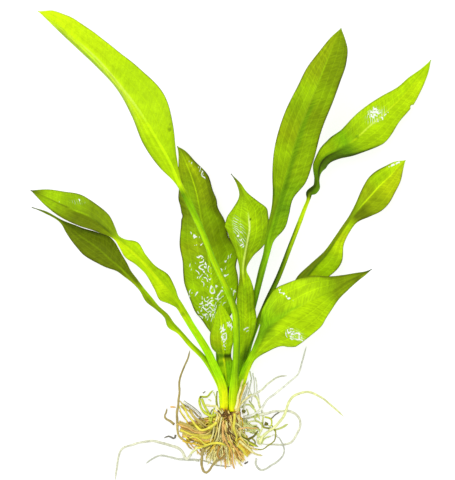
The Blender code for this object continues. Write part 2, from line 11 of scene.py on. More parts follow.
import bpy
import numpy as np
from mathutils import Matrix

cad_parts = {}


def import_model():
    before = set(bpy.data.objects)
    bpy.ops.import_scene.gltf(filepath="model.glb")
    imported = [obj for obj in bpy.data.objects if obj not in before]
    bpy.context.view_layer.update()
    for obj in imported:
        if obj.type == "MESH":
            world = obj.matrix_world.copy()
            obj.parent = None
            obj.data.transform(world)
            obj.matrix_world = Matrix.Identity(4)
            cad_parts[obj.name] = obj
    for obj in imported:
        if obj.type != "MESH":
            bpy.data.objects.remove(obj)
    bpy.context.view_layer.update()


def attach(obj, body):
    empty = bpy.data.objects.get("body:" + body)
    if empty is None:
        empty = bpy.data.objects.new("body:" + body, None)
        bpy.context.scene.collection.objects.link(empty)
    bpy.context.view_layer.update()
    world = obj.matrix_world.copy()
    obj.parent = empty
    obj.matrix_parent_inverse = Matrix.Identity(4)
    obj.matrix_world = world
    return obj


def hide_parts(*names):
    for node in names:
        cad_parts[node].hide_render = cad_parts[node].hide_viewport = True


MM = 0.001
ORIGIN = np.array([0.0, -3.0, 0.0])  # where the part's own origin lies

# The view, straight down
CAMERA_HEIGHT = 1200.0
VIEW_LENGTH = 264.0  # of the surface, along the longer side of the view
VIEW_CENTRE = np.array([-1.375, 93.5, 0.0])
SENSOR = 36.0

# The studio, in metres and watts
WORLD_STRENGTH = 0.8
LAMP_SIZE = 1.2
LAMP_POWER = 9.0
LAMP_PLACE = (-0.5, 0.7, 1.3)
LAMP_DIRECTION = (0.5, -0.6, -1.3)
FLOOR_REACH = 3.0  # from its middle to each side
FLOOR_GREY = 0.4
FLOOR_GLOW = 0.75

# Leaves
LEAF_BASE_Y = 0.3  # where the stalks meet the crown
BLADE_THICKNESS = 0.42  # a blade beside its midrib
MIDRIB_TIP_RADIUS = 0.45  # the midrib thins to this at a leaf's tip
MIDRIB_REACH = 1.25  # how far it spreads into a blade, of its radius
STALK_FLATNESS = 0.82  # height of a stalk against its width
STALK_SHARES = (0.45, 0.85)  # a leaf turns from blade to stalk as its midrib takes up this share
RIB_ABOVE = 0.34  # how far the midrib stands out above a blade, of its radius
RIB_BELOW = 1.0
DROOP_POWER = 1.4  # a margin bends down in this power of the way out
ROW_STEP = 0.9  # between the rows of a leaf's mesh
COLUMNS = 24  # from the midrib to each margin
RIB_COLUMNS = 0.3  # the share of them on the midrib
RIB_EDGE = 1.4  # how far out those reach, of its radius
LEAST_HALF_WIDTH = 0.25
UNDERSIDE_SHADE = 0.18  # how much darker a leaf is below
HALVES_MEET = 0.22  # the two halves' greens blend this far out from the midrib, of a half width
RIB_PAINT = (0.35, 1.0)  # a midrib's colour fades out between these shares of its radius
BAND_OUTSIDE, BAND_INSIDE = 0.02, 0.03  # a band fades this far outside and inside its ends
BAND_UNEVEN = 0.3  # how much its reach varies

# A blade's bulges and ruffles, which grow from none to full between these half widths
SOFT_WIDTHS = (2.0, 6.0)
RUFFLE_WAVES = (17, 30)  # along the leaf, and out from the midrib
RUFFLE_SPREAD = 0.4  # how much of the way out counts
QUILT_STEP = 4.2  # between the bulges of a blade
QUILT_LEAN = 0.6
QUILT_WANDER = 1.4
QUILT_WAVES = (14, 14)

# Veins of a blade
LONG_VEINS = (0.36, 0.68)  # where they run, in half widths from the midrib
CROSS_VEIN_STEP = 2.1  # between the veins that cross over to the margin
CROSS_VEIN_LEAN = 0.95  # how far forward they run for each step outward
CROSS_VEIN_SHIFT = 0.8  # how far they break at each long vein
CROSS_VEIN_STRENGTH = 0.5  # against the long ones
CROSS_VEIN_WANDER = 2.6  # how far they stray from their course
LONG_VEIN_WANDER = 0.15  # how far the long ones do, of that
SHEEN_STEP = 0.85  # half the way between the veins that carry painted sheen where a blade is damp
VEIN_LIGHT = 1.6  # how much the lines lighten a blade, against its streaks

# How far from the middle of a vein its line begins, and from where on it is full
LONG_VEIN_EDGES, CROSS_VEIN_EDGES, SHEEN_EDGES = (0.45, 0.1), (0.34, 0.05), (0.36, 0.05)

# A leaf's surface
BLADE_LOOK = (2.4, 5.0)  # half widths between which the look of a stalk turns into a blade's
LEAF_ROUGHNESS, WET_ROUGHNESS = 0.42, 0.25
RIM_TINT = (0.42, 0.30, 0.5, 1.0)
RIM_WIDTHS = (0.5, 1.2)
# the white of the painted glints
GLINT_WHITE = (0.95, 0.97, 0.95, 1.0)
STROKE_SWIRL, STROKES = 0.2, 6.0  # swirls for each millimetre, and strokes of painted glint in each
STROKE_BREAKS, PATCH_BREAKS = 0.55, 1.0  # the clouds that break them, for each millimetre
STROKE_EDGES, BREAK_EDGES, PATCH_EDGES = (0.16, 0.1), (0.66, 0.7), (1.1, 1.13)

# Clouds of noise: how many there are for each metre
WANDER_CLOUDS, VEIN_CLOUDS, RIM_CLOUDS, SHEEN_CLOUDS = 180.0, 150.0, 120.0, 320.0
MOTTLE_CLOUDS, GRAIN_CLOUDS = 420.0, 1500.0
ROOT_MOTTLE_CLOUDS, ROOT_PATCH_CLOUDS = 900.0, 260.0

# How dark and how light they make a colour, as factors
MOTTLE_SHADES, GRAIN_SHADES, FIBRE_SHADE = (0.93, 1.07), (0.95, 1.05), 0.14
ROOT_MOTTLE_SHADES, ROOT_PATCH_SHADES = (0.8, 1.15), (0.88, 1.1)

# The flat layout of a mesh runs from 0 to 1 each way
LAYOUT_EDGE = 0.01  # left free about a leaf, and at the ends of a root
LAYOUT_CAP = 0.005  # the place in that edge to which the caps of a leaf and the crown shrink

# The first seed of each kind of piece, and the step to the next of its kind
LEAF_SEED, LEAF_SEED_STEP = 20, 7
TUFT_SEED, STRANDS_A_SEED = 300, 100
ROOT_SEED, ROOT_SEED_STEP = 500, 10
LOOSE_SEED, LOOSE_SEED_STEP = 900, 3

# Each leaf, from its foot in the crown to its tip. A row is the midrib's x, y, z, the width
# left and right of it as seen from above, and how far each side tilts up (+) or down, in degrees.
# A shorter row has no tilt, and one width is that of both sides.
LEAVES = {
    "leaf_arching": [
        (1.6, LEAF_BASE_Y, 14.4, 1.8), (1.6, 3, 14.4, 2.3), (1.6, 7, 14.5, 2.5), (2, 13, 15, 2.4),
        (3, 25, 17.8, 1.9), (3.4, 43.5, 24, 1.8), (2.6, 55, 29.5, 1.8), (-0.5, 64.5, 34, 1.7),
        (-4.8, 74, 38.5, 1.6), (-8.8, 82.5, 43, 1.5), (-13, 93.5, 47, 1.5), (-18.6, 106.5, 50, 1.6),
        (-23, 116, 52, 1.8), (-26.5, 122.5, 53, 1.5, 1.5, -10, 0), (-31.5, 134, 55, 6, 4.1, -25, 5),
        (-39.5, 148, 55, 7.4, 11.2, -35, 5), (-47.5, 161, 53, 5, 15.6, -52, 0),
        (-58, 175, 48, 2.6, 13.8, -66, -5), (-69, 188, 42, 3.1, 10.6, -66, -8),
        (-80, 198.5, 35, 3.1, 9.2, -60, -8), (-91.5, 208.5, 27, 2.4, 7.2, -60, -5),
        (-98, 213.5, 22, 1.4, 4.6, -50, 0), (-104, 217.5, 17, 0, 0, -30, 0),
    ],
    "leaf_back": [
        (-3.8, LEAF_BASE_Y, 7, 1.5), (-4.4, 8, 6.6, 1.6), (-6, 28, 6, 1.6), (-8, 41.5, 6, 1.6),
        (-9, 47, 6.5, 4.4, 4.4, -5, -5), (-9, 52.5, 7, 8.8, 9.6, -10, -10),
        (-9.5, 60.5, 8, 12, 13, -14, -14), (-10, 71.5, 9, 15.2, 14.5, -18, -18),
        (-10.7, 77.3, 9.3, 15.1, 14.1, -19, -19), (-11.5, 83.5, 9.5, 14.6, 15.9, -20, -20),
        (-13.2, 93.5, 9, 14.7, 12.5, -18, -18), (-14.8, 101.5, 8.5, 12.6, 12.2, -15, -18),
        (-15.8, 106, 8.2, 11.2, 11, -15, -18), (-16.5, 110, 8, 10.3, 9.9, -15, -18),
        (-17.2, 114, 7.5, 10.3, 10, -14, -17), (-18, 118, 7, 10.5, 9.1, -12, -15),
        (-20.5, 126.5, 5.5, 7.9, 8.8, -8, -10), (-23.5, 134.5, 3.5, 5.2, 5, -5, -5),
        (-27, 142, 2, 1.6, 2), (-29, 145, 0.5, 0),
    ],
    "leaf_pointed": [
        (0.3, LEAF_BASE_Y, 10.5, 1.5), (1, 7, 9.6, 1.6), (2.4, 14, 9.3, 1.8), (4.6, 24, 11.1, 2.3, 2),
        (7, 33.5, 12.7, 2.7, 2.6, -5, -5), (8.5, 50, 16, 4.3, 6, -10, -22),
        (8.5, 58.5, 17, 5, 4.9, -10, -20), (8, 66.5, 18, 3.9, 4.8, -5, -15),
        (7.4, 71.8, 18.8, 2.6, 3.8, -3, -8), (7, 77, 19.5, 1.9, 2), (8, 85.5, 20.5, 5, 4.6, -10, -15),
        (9.5, 93.5, 22.5, 10.3, 9.8, -20, -30), (10.5, 100, 23.5, 13.6, 10.6, -25, -32),
        (10, 106.5, 23.1, 12, 10.7, -27, -30), (9.7, 109, 22.7, 10.6, 10.5, -28, -26),
        (9, 112.5, 21.5, 7.6, 7, -25, -20), (7.3, 118, 19.5, 2.6, 2.6, -20, -10), (4.6, 124, 17, 1.1),
        (0.5, 129.5, 14, 0),
    ],
    "leaf_tall": [
        (-0.5, LEAF_BASE_Y, 7, 1.4), (0.9, 7, 6, 1.4), (2.4, 13, 5.8, 1.5), (5.2, 22.5, 7, 1.5),
        (8.7, 39, 8, 1.5), (11.5, 52.5, 10, 1.6, 1.5), (14, 62.5, 12.5, 1.8, 1.5), (17.5, 78, 18.5, 1.9),
        (19.6, 86, 21.5, 1.8, 1.9), (20.9, 94, 24, 2, 3.1, 5, 0), (23, 102, 26.5, 2.7, 6.9, 10, -5),
        (25, 109.5, 28.5, 3, 7.1, 15, -8), (27.5, 117.5, 30, 4.9, 6.6, 15, -10),
        (30, 126.5, 32, 7.7, 10.6, 14, -12), (33, 138, 34, 10, 11.8, 12, -14),
        (38.5, 156, 35, 10.7, 11.2, 8, -16), (45.5, 172.5, 33.5, 9.9, 10.8, 4, -18),
        (49, 182, 31.5, 8.8, 10.8, 2, -18), (53.5, 193, 28, 5.7, 10, 0, -15),
        (57, 201.5, 24.5, 3, 6.8, 0, -10), (60, 208, 21, 0),
    ],
    "leaf_kinked": [
        (2.6, LEAF_BASE_Y, 7, 1.3), (4, 7, 6.5, 1.3), (5.8, 13, 6.2, 1.4), (7.5, 19.5, 6, 1.4),
        (11, 37, 6.2, 1.4), (14.4, 46.5, 6.8, 1.4), (19.6, 58.5, 8, 1.6, 1.4), (26.6, 74, 11, 1.4),
        (32.5, 89.5, 14, 1.3), (38.4, 105, 16.8, 1.2), (40.4, 110.4, 17.5, 1.1), (42.6, 116.4, 18.5, 1.2),
        (43, 118.7, 19.4, 2, 1.7, 10, -10), (44.6, 120.4, 20.3, 1.9, 2.7, 25, -25),
        (46.5, 122.3, 20.5, 1.7, 2.4, 30, -30), (47.2, 124.9, 20, 1.8, 1.2, 25, -25),
        (47.1, 127.4, 19.4, 1.6, 1.5, 20, -20), (47.2, 130.4, 18.6, 2.2, 2.5, 15, -35),
        (47.9, 133.7, 18, 3.1, 4.3, 12, -36), (49.4, 136.8, 17.7, 3.5, 4.6, 10, -36),
        (52, 139.3, 17.4, 5.1, 4.6, 8, -36), (57, 142, 17, 7.3, 5, 5, -38),
        (65, 146, 16.5, 8.7, 7.2, 0, -30), (76, 155.5, 15.5, 9.7, 12.2, -3, -18),
        (87, 165, 13, 8.4, 8.8, -5, -15), (95.5, 173, 10, 5.7, 7.2, -5, -12),
        (101, 179.5, 7, 4.4, 5.2, -3, -8), (106.5, 186.5, 3.5, 1.9, 2.7, 0, -3), (110.5, 192.5, 0.8, 0),
    ],
    "leaf_oval": [
        (3, LEAF_BASE_Y, 3.7, 1.1), (5, 7, 3.6, 1.1), (7.2, 14, 3.4, 1.2), (9.6, 22.5, 3.7, 1.3),
        (13, 30, 4.6, 1.4), (19.5, 41.5, 6, 1.5), (27.5, 54, 7.5, 1.7), (35, 65, 9.5, 2.7, 3.3, -5, -8),
        (40, 71, 11, 4.2, 7.6, -10, -12), (46, 78.5, 12.5, 3, 9.1, -20, -14),
        (53, 86.5, 13.5, 1.9, 9.5, -30, -14), (57.6, 93.5, 14, 1.5, 5.1, -30, -10),
        (62, 100, 14, 1.5, 3.8, -10, -5), (66, 105.5, 14, 1.7, 4, 0, -5),
        (70.5, 111, 14, 3.2, 7.3, 5, -8), (76, 117, 13.5, 6, 10.2, 5, -12),
        (81.5, 123, 12, 7.5, 9.7, 3, -14), (87.5, 128.5, 9, 6.4, 6.8, 0, -10),
        (92, 133.5, 5, 3.8, 3.8, 0, -5), (96.4, 137.3, 0.8, 0),
    ],
    "leaf_broad": [
        (3.6, LEAF_BASE_Y, 10.5, 1.6), (4.2, 7.5, 11.2, 1.8), (4.9, 13.5, 11.8, 2), (7, 19, 13, 2.2),
        (9, 24, 14.4, 2.2), (11.5, 29, 16, 2, 2.1), (15, 36.5, 19.5, 2.2, 7.2, -5, -8),
        (18.5, 43.5, 22, 3.4, 14.3, -8, -12), (24, 49.5, 25, 9.8, 17.7, -12, -14),
        (30.5, 53.5, 27, 14.7, 17.5, -14, -15), (37, 57, 28.5, 14.9, 16, -14, -16),
        (43.5, 61, 29, 13.4, 14.1, -14, -16), (49.5, 64, 28.5, 11.5, 10.1, -12, -14),
        (55.5, 67, 27, 7.9, 6.2, -10, -10), (62, 70.5, 24.5, 4.5, 4.2, -8, -8),
        (68.5, 73.5, 21, 2.4, 2.2, -5, -5), (73.5, 75.7, 18, 0.9), (76.8, 77.6, 16, 0),
    ],
    "leaf_waisted": [
        (-3, LEAF_BASE_Y, 14.4, 1.6), (-3, 3, 14.4, 1.9), (-3.1, 7, 14.5, 2, 1.9),
        (-3.6, 12.5, 14.8, 2.1), (-5.7, 19, 15.6, 2.1), (-8, 24, 16.5, 2.1), (-11.6, 32, 19, 2.1),
        (-16.2, 40, 22, 2), (-20.9, 47.5, 24.5, 1.9), (-24.7, 54, 26.5, 2),
        (-27.4, 58.5, 27.8, 2.2, 2, -3, -3), (-29.5, 61.5, 28.5, 4, 2.2, -5, -5),
        (-32, 65, 29.5, 6.7, 3.6, -10, -5), (-37.5, 71, 31, 4.7, 5.9, -12, -8),
        (-43, 77.5, 32, 3.2, 3.7, -12, -10), (-48, 83, 33, 3.7, 4, -12, -10),
        (-53.5, 88, 33, 4.5, 5.9, -12, -12), (-58, 92, 33, 2.4, 2.7, -10, -10),
        (-60.5, 94.5, 32.5, 1.6, 1.6, 0, -5), (-63.5, 97, 32, 2.1, 3.5, -15, -5),
        (-68.5, 101, 31, 4.2, 6.6, -20, -5), (-75, 106, 28.5, 6.8, 7.4, -22, -3),
        (-83.5, 109.5, 25, 7, 9, -22, 0), (-92, 113, 21, 5.9, 7.2, -18, 3),
        (-100.5, 117, 16.5, 3.5, 4.4, -12, 5), (-108.5, 120.5, 12.5, 0),
    ],
    "leaf_shaded": [
        (-4.6, LEAF_BASE_Y, 10.5, 1.1), (-4.7, 7, 10.2, 1.2), (-5.6, 13, 10.2, 1.3),
        (-8.7, 20, 10.8, 1.3), (-14.5, 29.5, 12.5, 1.4), (-21.4, 36.5, 14.2, 1.4), (-28, 44, 16, 1.4),
        (-31.4, 48, 17, 3, 1.2, -25, -5), (-34.1, 52, 17.5, 1.7, 1.2, -25, -5),
        (-39.5, 57, 18, 1.4, 1.2, -10, -5), (-43.4, 61.5, 18, 2.6, 1.4, -20, -5),
        (-48, 67, 18, 1.4, 1.4, -10, -5), (-52, 71.5, 18, 1.6, 1.9, -5, -5),
        (-56, 75, 18, 1.9, 3, -8, -8), (-59.5, 78.5, 17.5, 2.7, 4.6, -10, -8),
        (-65, 83, 17, 5.2, 7.2, -12, -12), (-70.5, 88, 16, 7.2, 8.8, -14, -14),
        (-76, 92, 14, 7.5, 6.9, -14, -14), (-81.5, 95.5, 11.5, 5.7, 4.9, -12, -12),
        (-87.5, 100, 8.5, 3.3, 2.7, -8, -8), (-91.5, 103, 6, 1.2), (-102, 109, 2, 0.6),
        (-109, 111.5, 0.8, 0),
    ],
    "leaf_young": [
        (-2.35, LEAF_BASE_Y, 10.5, 0.85), (-2, 7, 10.6, 1), (-1.8, 13, 11, 1.4),
        (-2.5, 22.5, 12, 3, 3.6, 5, 3), (-3, 26, 12.8, 4.1, 4.7, 8, 3),
        (-3.5, 29.5, 13.6, 2.6, 4.2, -5, -5), (-3.5, 32, 15.4, 3.8, 4.2, -15, -15),
        (-4, 36, 19, 6.2, 5.6, -22, -22), (-4.5, 41, 20.5, 6.5, 6.4, -25, -25),
        (-4.5, 46.5, 21, 5.4, 6.5, -25, -25), (-5, 52, 20.5, 3.5, 5, -20, -20),
        (-5, 56, 19.5, 1.7, 2.4, -10, -10), (-5, 59.5, 18, 0),
    ],
}


def srgb(red, green, blue):
    """A colour as seen on a screen, 0 to 255, as the linear values that a shader takes."""
    seen = np.array([red, green, blue]) / 255
    return np.where(seen <= 0.04045, seen / 12.92, ((seen + 0.055) / 1.055) ** 2.4)


# The greens of the leaves, by name
GREENS = {
    "gold": srgb(240, 250, 18), "lime": srgb(206, 238, 10), "sunny": srgb(192, 228, 8),
    "bright": srgb(176, 217, 6), "spring": srgb(168, 226, 8), "vivid": srgb(170, 240, 10),
    "honey": srgb(180, 203, 8), "fresh": srgb(158, 199, 6), "grass": srgb(134, 192, 8),
    "khaki": srgb(148, 173, 8), "leaf": srgb(140, 177, 6), "fern": srgb(120, 164, 6),
    "olive": srgb(124, 151, 6), "moss": srgb(100, 146, 8), "dark": srgb(103, 121, 6),
    "pine": srgb(80, 112, 8), "deep": srgb(58, 78, 6), "neon": srgb(204, 250, 12),
    "pale": srgb(206, 234, 80), "cream": srgb(226, 244, 140), "rust": srgb(206, 150, 24),
}

# How each leaf is painted: from foot to tip, the share of its length and the greens of its left
# and right half there, or one green for both; then the same for its midrib, with how strongly
# that shows.
# The greens carry painted light and shade besides each leaf's own colour: a half or a stretch in shade,
# under a neighbour or in a crease, is painted darker, and a lit one lighter.
LEAF_PAINT = {
    "leaf_arching": {
        "halves": [
            (0, "gold"), (0.02, "sunny", "lime"), (0.055, "spring", "fresh"), (0.09, "grass", "moss"),
            (0.15, "grass"), (0.19, "spring", "grass"), (0.24, "spring", "moss"),
            (0.27, "spring", "fresh"), (0.33, "spring", "grass"), (0.43, "spring", "grass"),
            (0.455, "grass"), (0.485, "moss", "leaf"), (0.5, "bright", "sunny"),
            (0.55, "bright", "fresh"), (0.61, "bright"), (0.67, "sunny", "bright"),
            (0.75, "lime", "bright"), (0.83, "neon", "sunny"), (0.88, "lime", "sunny"),
            (0.94, "sunny", "lime"), (1, "lime"),
        ],
        "rib": [
            (0, "gold", 0.3), (0.06, "spring", 0.5), (0.1, "spring", 0.4), (0.22, "lime", 0.3),
            (0.26, "grass", 0.7), (0.29, "lime", 0.5), (0.4, "lime", 0.3), (0.435, "spring", 0.1),
            (0.49, "grass", 0.1), (0.505, "neon", 0.9), (0.64, "neon", 0.9), (0.7, "pale", 0.8),
            (0.84, "pale", 0.7), (0.88, "neon", 0.6), (1, "lime", 0.2),
        ],
    },
    "leaf_back": {
        "halves": [
            (0, "gold", "fresh"), (0.08, "fresh", "grass"), (0.19, "moss", "olive"),
            (0.3, "leaf", "fresh"), (0.35, "leaf"), (0.45, "fresh"), (0.55, "leaf"),
            (0.62, "khaki", "olive"), (0.66, "leaf", "olive"), (0.73, "olive", "leaf"),
            (0.78, "leaf", "khaki"), (0.84, "leaf", "khaki"), (0.9, "khaki", "honey"), (0.95, "khaki"),
            (1, "olive", "dark"),
        ],
        "rib": [
            (0, "fresh", 0.3), (0.2, "moss", 0.5), (0.3, "bright", 0.9), (0.5, "bright", 1),
            (0.62, "bright", 0.8), (0.66, "leaf", 0.6), (0.74, "fresh", 0.7), (0.84, "sunny", 0.9),
            (0.92, "sunny", 0.9), (1, "fresh", 0.3),
        ],
    },
    "leaf_pointed": {
        "halves": [
            (0, "gold"), (0.05, "grass", "fresh"), (0.1, "spring"), (0.15, "spring", "grass"),
            (0.18, "grass"), (0.22, "moss", "pine"), (0.25, "fresh", "pine"), (0.29, "fresh", "leaf"),
            (0.33, "fresh"), (0.38, "fresh", "bright"), (0.42, "fresh", "leaf"), (0.48, "leaf"),
            (0.51, "leaf", "fresh"), (0.54, "olive", "fresh"), (0.58, "leaf", "fresh"),
            (0.61, "leaf", "olive"), (0.67, "leaf"), (0.72, "leaf", "fresh"), (0.78, "fresh", "bright"),
            (0.84, "fresh"), (0.88, "leaf", "fresh"), (0.91, "olive", "fresh"), (0.94, "olive", "khaki"),
            (0.97, "dark"), (1, "deep"),
        ],
        "rib": [
            (0, "bright", 0.3), (0.2, "grass", 0.4), (0.3, "bright", 0.5), (0.42, "sunny", 0.7),
            (0.46, "bright", 0.3), (0.5, "grass", 0.3), (0.54, "sunny", 0.7), (0.6, "pale", 1),
            (0.78, "cream", 0.8), (0.82, "bright", 0.4), (1, "deep", 0.1),
        ],
    },
    "leaf_tall": {
        "halves": [
            (0, "gold", "fresh"), (0.05, "lime", "fresh"), (0.11, "spring"), (0.2, "grass"),
            (0.26, "grass", "moss"), (0.34, "pine", "moss"), (0.4, "moss", "grass"), (0.45, "fern"),
            (0.5, "leaf", "fern"), (0.53, "olive", "moss"), (0.555, "fern"), (0.58, "leaf", "fern"),
            (0.62, "leaf"), (0.66, "fresh", "leaf"), (0.7, "khaki", "leaf"), (0.77, "leaf", "olive"),
            (0.82, "fresh", "leaf"), (0.86, "khaki", "olive"), (0.92, "khaki", "olive"),
            (0.96, "khaki", "olive"), (1, "olive"),
        ],
        "rib": [
            (0, "grass", 0.3), (0.26, "moss", 0.6), (0.3, "grass", 0.5), (0.44, "grass", 0.7),
            (0.54, "moss", 0.9), (0.64, "fern", 0.8), (0.72, "fern", 0.7), (0.78, "olive", 0.6),
            (0.83, "leaf", 0.8), (0.88, "fresh", 0.8), (1, "olive", 0.2),
        ],
    },
    "leaf_kinked": {
        "halves": [
            (0, "fresh", "bright"), (0.06, "fresh", "bright"), (0.1, "spring", "grass"),
            (0.13, "moss", "grass"), (0.18, "moss"), (0.22, "khaki", "fresh"), (0.26, "deep", "moss"),
            (0.34, "deep", "olive"), (0.43, "pine", "fresh"), (0.46, "olive", "lime"),
            (0.475, "sunny", "lime"), (0.525, "lime"), (0.535, "deep", "pine"), (0.56, "deep", "moss"),
            (0.58, "pine", "moss"), (0.6, "moss"), (0.62, "leaf", "pine"), (0.65, "bright", "pine"),
            (0.67, "fresh", "pine"), (0.7, "grass", "moss"), (0.73, "fresh"), (0.78, "bright"),
            (0.85, "bright"), (0.92, "bright", "sunny"), (0.97, "bright"), (1, "fresh"),
        ],
        "rib": [
            (0, "fresh", 0.2), (0.2, "pine", 0.5), (0.36, "moss", 0.4), (0.44, "lime", 0.5),
            (0.53, "lime", 0.6), (0.55, "deep", 0.4), (0.6, "moss", 0.4), (0.66, "grass", 0.6),
            (0.7, "moss", 0.5), (0.73, "lime", 0.9), (0.78, "pale", 1), (0.85, "lime", 0.8),
            (1, "bright", 0.2),
        ],
    },
    "leaf_oval": {
        "halves": [
            (0, "gold"), (0.06, "gold"), (0.1, "sunny", "lime"), (0.17, "vivid", "spring"),
            (0.21, "grass", "fresh"), (0.25, "grass", "leaf"), (0.34, "moss", "dark"),
            (0.42, "dark", "olive"), (0.5, "dark", "khaki"), (0.54, "dark", "fresh"),
            (0.59, "dark", "fresh"), (0.62, "olive", "sunny"), (0.66, "khaki", "honey"),
            (0.7, "khaki", "bright"), (0.735, "olive", "dark"), (0.77, "leaf", "dark"), (0.8, "khaki"),
            (0.83, "khaki"), (0.87, "fresh", "honey"), (0.92, "bright", "honey"),
            (0.96, "sunny", "honey"), (1, "bright"),
        ],
        "rib": [
            (0, "gold", 0.3), (0.12, "lime", 0.6), (0.2, "bright", 0.4), (0.5, "pine", 0.8),
            (0.58, "pine", 0.8), (0.66, "olive", 0.8), (0.75, "leaf", 0.6), (0.79, "sunny", 0.9),
            (0.88, "lime", 1), (0.94, "lime", 0.9), (1, "lime", 0.2),
        ],
    },
    "leaf_broad": {
        "halves": [
            (0, "gold"), (0.05, "lime", "gold"), (0.12, "lime"), (0.18, "vivid", "lime"),
            (0.22, "grass", "sunny"), (0.26, "spring"), (0.31, "grass", "fresh"),
            (0.38, "grass", "bright"), (0.45, "grass", "bright"), (0.52, "fresh", "bright"),
            (0.6, "bright"), (0.7, "bright"), (0.74, "fresh"), (0.78, "leaf", "olive"), (0.82, "olive"),
            (0.86, "olive"), (0.91, "olive", "dark"), (0.95, "dark", "khaki"), (1, "deep"),
        ],
        "rib": [
            (0, "gold", 0.5), (0.1, "lime", 0.4), (0.16, "grass", 0.7), (0.26, "spring", 0.4),
            (0.3, "grass", 0.6), (0.36, "grass", 0.8), (0.42, "moss", 0.8), (0.47, "grass", 0.8),
            (0.52, "grass", 0.8), (0.57, "bright", 0.8), (0.66, "bright", 0.7), (0.71, "fresh", 0.8),
            (0.78, "leaf", 0.6), (0.84, "dark", 0.6), (1, "deep", 0.2),
        ],
    },
    "leaf_waisted": {
        "halves": [
            (0, "gold"), (0.05, "lime", "gold"), (0.08, "lime"), (0.12, "vivid"), (0.2, "vivid"),
            (0.24, "vivid", "spring"), (0.31, "vivid"), (0.345, "lime", "fresh"),
            (0.38, "leaf", "bright"), (0.42, "bright", "fresh"), (0.46, "sunny", "fresh"),
            (0.5, "bright", "fresh"), (0.57, "bright"), (0.62, "sunny", "bright"),
            (0.65, "lime", "fresh"), (0.68, "olive"), (0.73, "dark", "olive"), (0.78, "dark", "olive"),
            (0.82, "dark", "leaf"), (0.86, "olive", "leaf"), (0.9, "leaf", "fresh"),
            (0.94, "leaf", "fresh"), (0.97, "olive"), (1, "deep"),
        ],
        "rib": [
            (0, "gold", 0.5), (0.06, "gold", 0.8), (0.12, "vivid", 0.6), (0.34, "lime", 0.6),
            (0.39, "bright", 0.2), (0.48, "lime", 0.8), (0.62, "lime", 0.9), (0.66, "fresh", 0.6),
            (0.7, "deep", 0.6), (0.74, "deep", 0.4), (0.78, "leaf", 0.7), (0.82, "fresh", 0.8),
            (0.86, "dark", 0.8), (0.91, "dark", 0.6), (1, "dark", 0.2),
        ],
    },
    "leaf_shaded": {
        "halves": [
            (0, "gold"), (0.08, "lime", "spring"), (0.15, "spring", "leaf"), (0.19, "spring", "moss"),
            (0.23, "sunny", "leaf"), (0.28, "bright", "leaf"), (0.31, "lime", "leaf"),
            (0.35, "fresh", "leaf"), (0.38, "leaf", "khaki"), (0.46, "olive", "fresh"),
            (0.51, "leaf", "fresh"), (0.54, "khaki", "dark"), (0.6, "dark"), (0.74, "dark"),
            (0.86, "dark"), (0.91, "khaki", "olive"), (1, "deep"),
        ],
        "rib": [
            (0, "lime", 0.4), (0.15, "bright", 0.6), (0.22, "fresh", 0.6), (0.28, "sunny", 0.6),
            (0.34, "leaf", 0.4), (0.45, "olive", 0.4), (0.53, "dark", 0.3), (0.58, "leaf", 0.8),
            (0.63, "olive", 0.8), (0.7, "olive", 0.7), (0.78, "olive", 0.6), (0.84, "dark", 0.6),
            (0.9, "dark", 0.4), (1, "dark", 0.2),
        ],
    },
    "leaf_young": {
        "halves": [
            (0, "gold"), (0.08, "gold", "lime"), (0.14, "gold", "spring"), (0.18, "lime", "grass"),
            (0.22, "lime", "spring"), (0.25, "grass", "spring"), (0.3, "moss", "grass"),
            (0.34, "bright", "grass"), (0.39, "bright", "grass"), (0.42, "moss", "grass"),
            (0.455, "fresh", "olive"), (0.49, "moss", "deep"), (0.51, "moss", "deep"),
            (0.53, "leaf", "fresh"), (0.58, "leaf", "bright"), (0.66, "khaki", "bright"),
            (0.78, "fresh", "bright"), (0.92, "fresh", "bright"), (1, "fresh"),
        ],
        "rib": [
            (0, "gold", 0.4), (0.14, "lime", 0.7), (0.18, "sunny", 0.7), (0.22, "spring", 0.8),
            (0.26, "spring", 0.6), (0.3, "lime", 0.8), (0.38, "lime", 0.6), (0.46, "gold", 0.9),
            (0.49, "olive", 0.4), (0.54, "sunny", 0.7), (0.8, "lime", 0.9), (1, "bright", 0.2),
        ],
    },
}
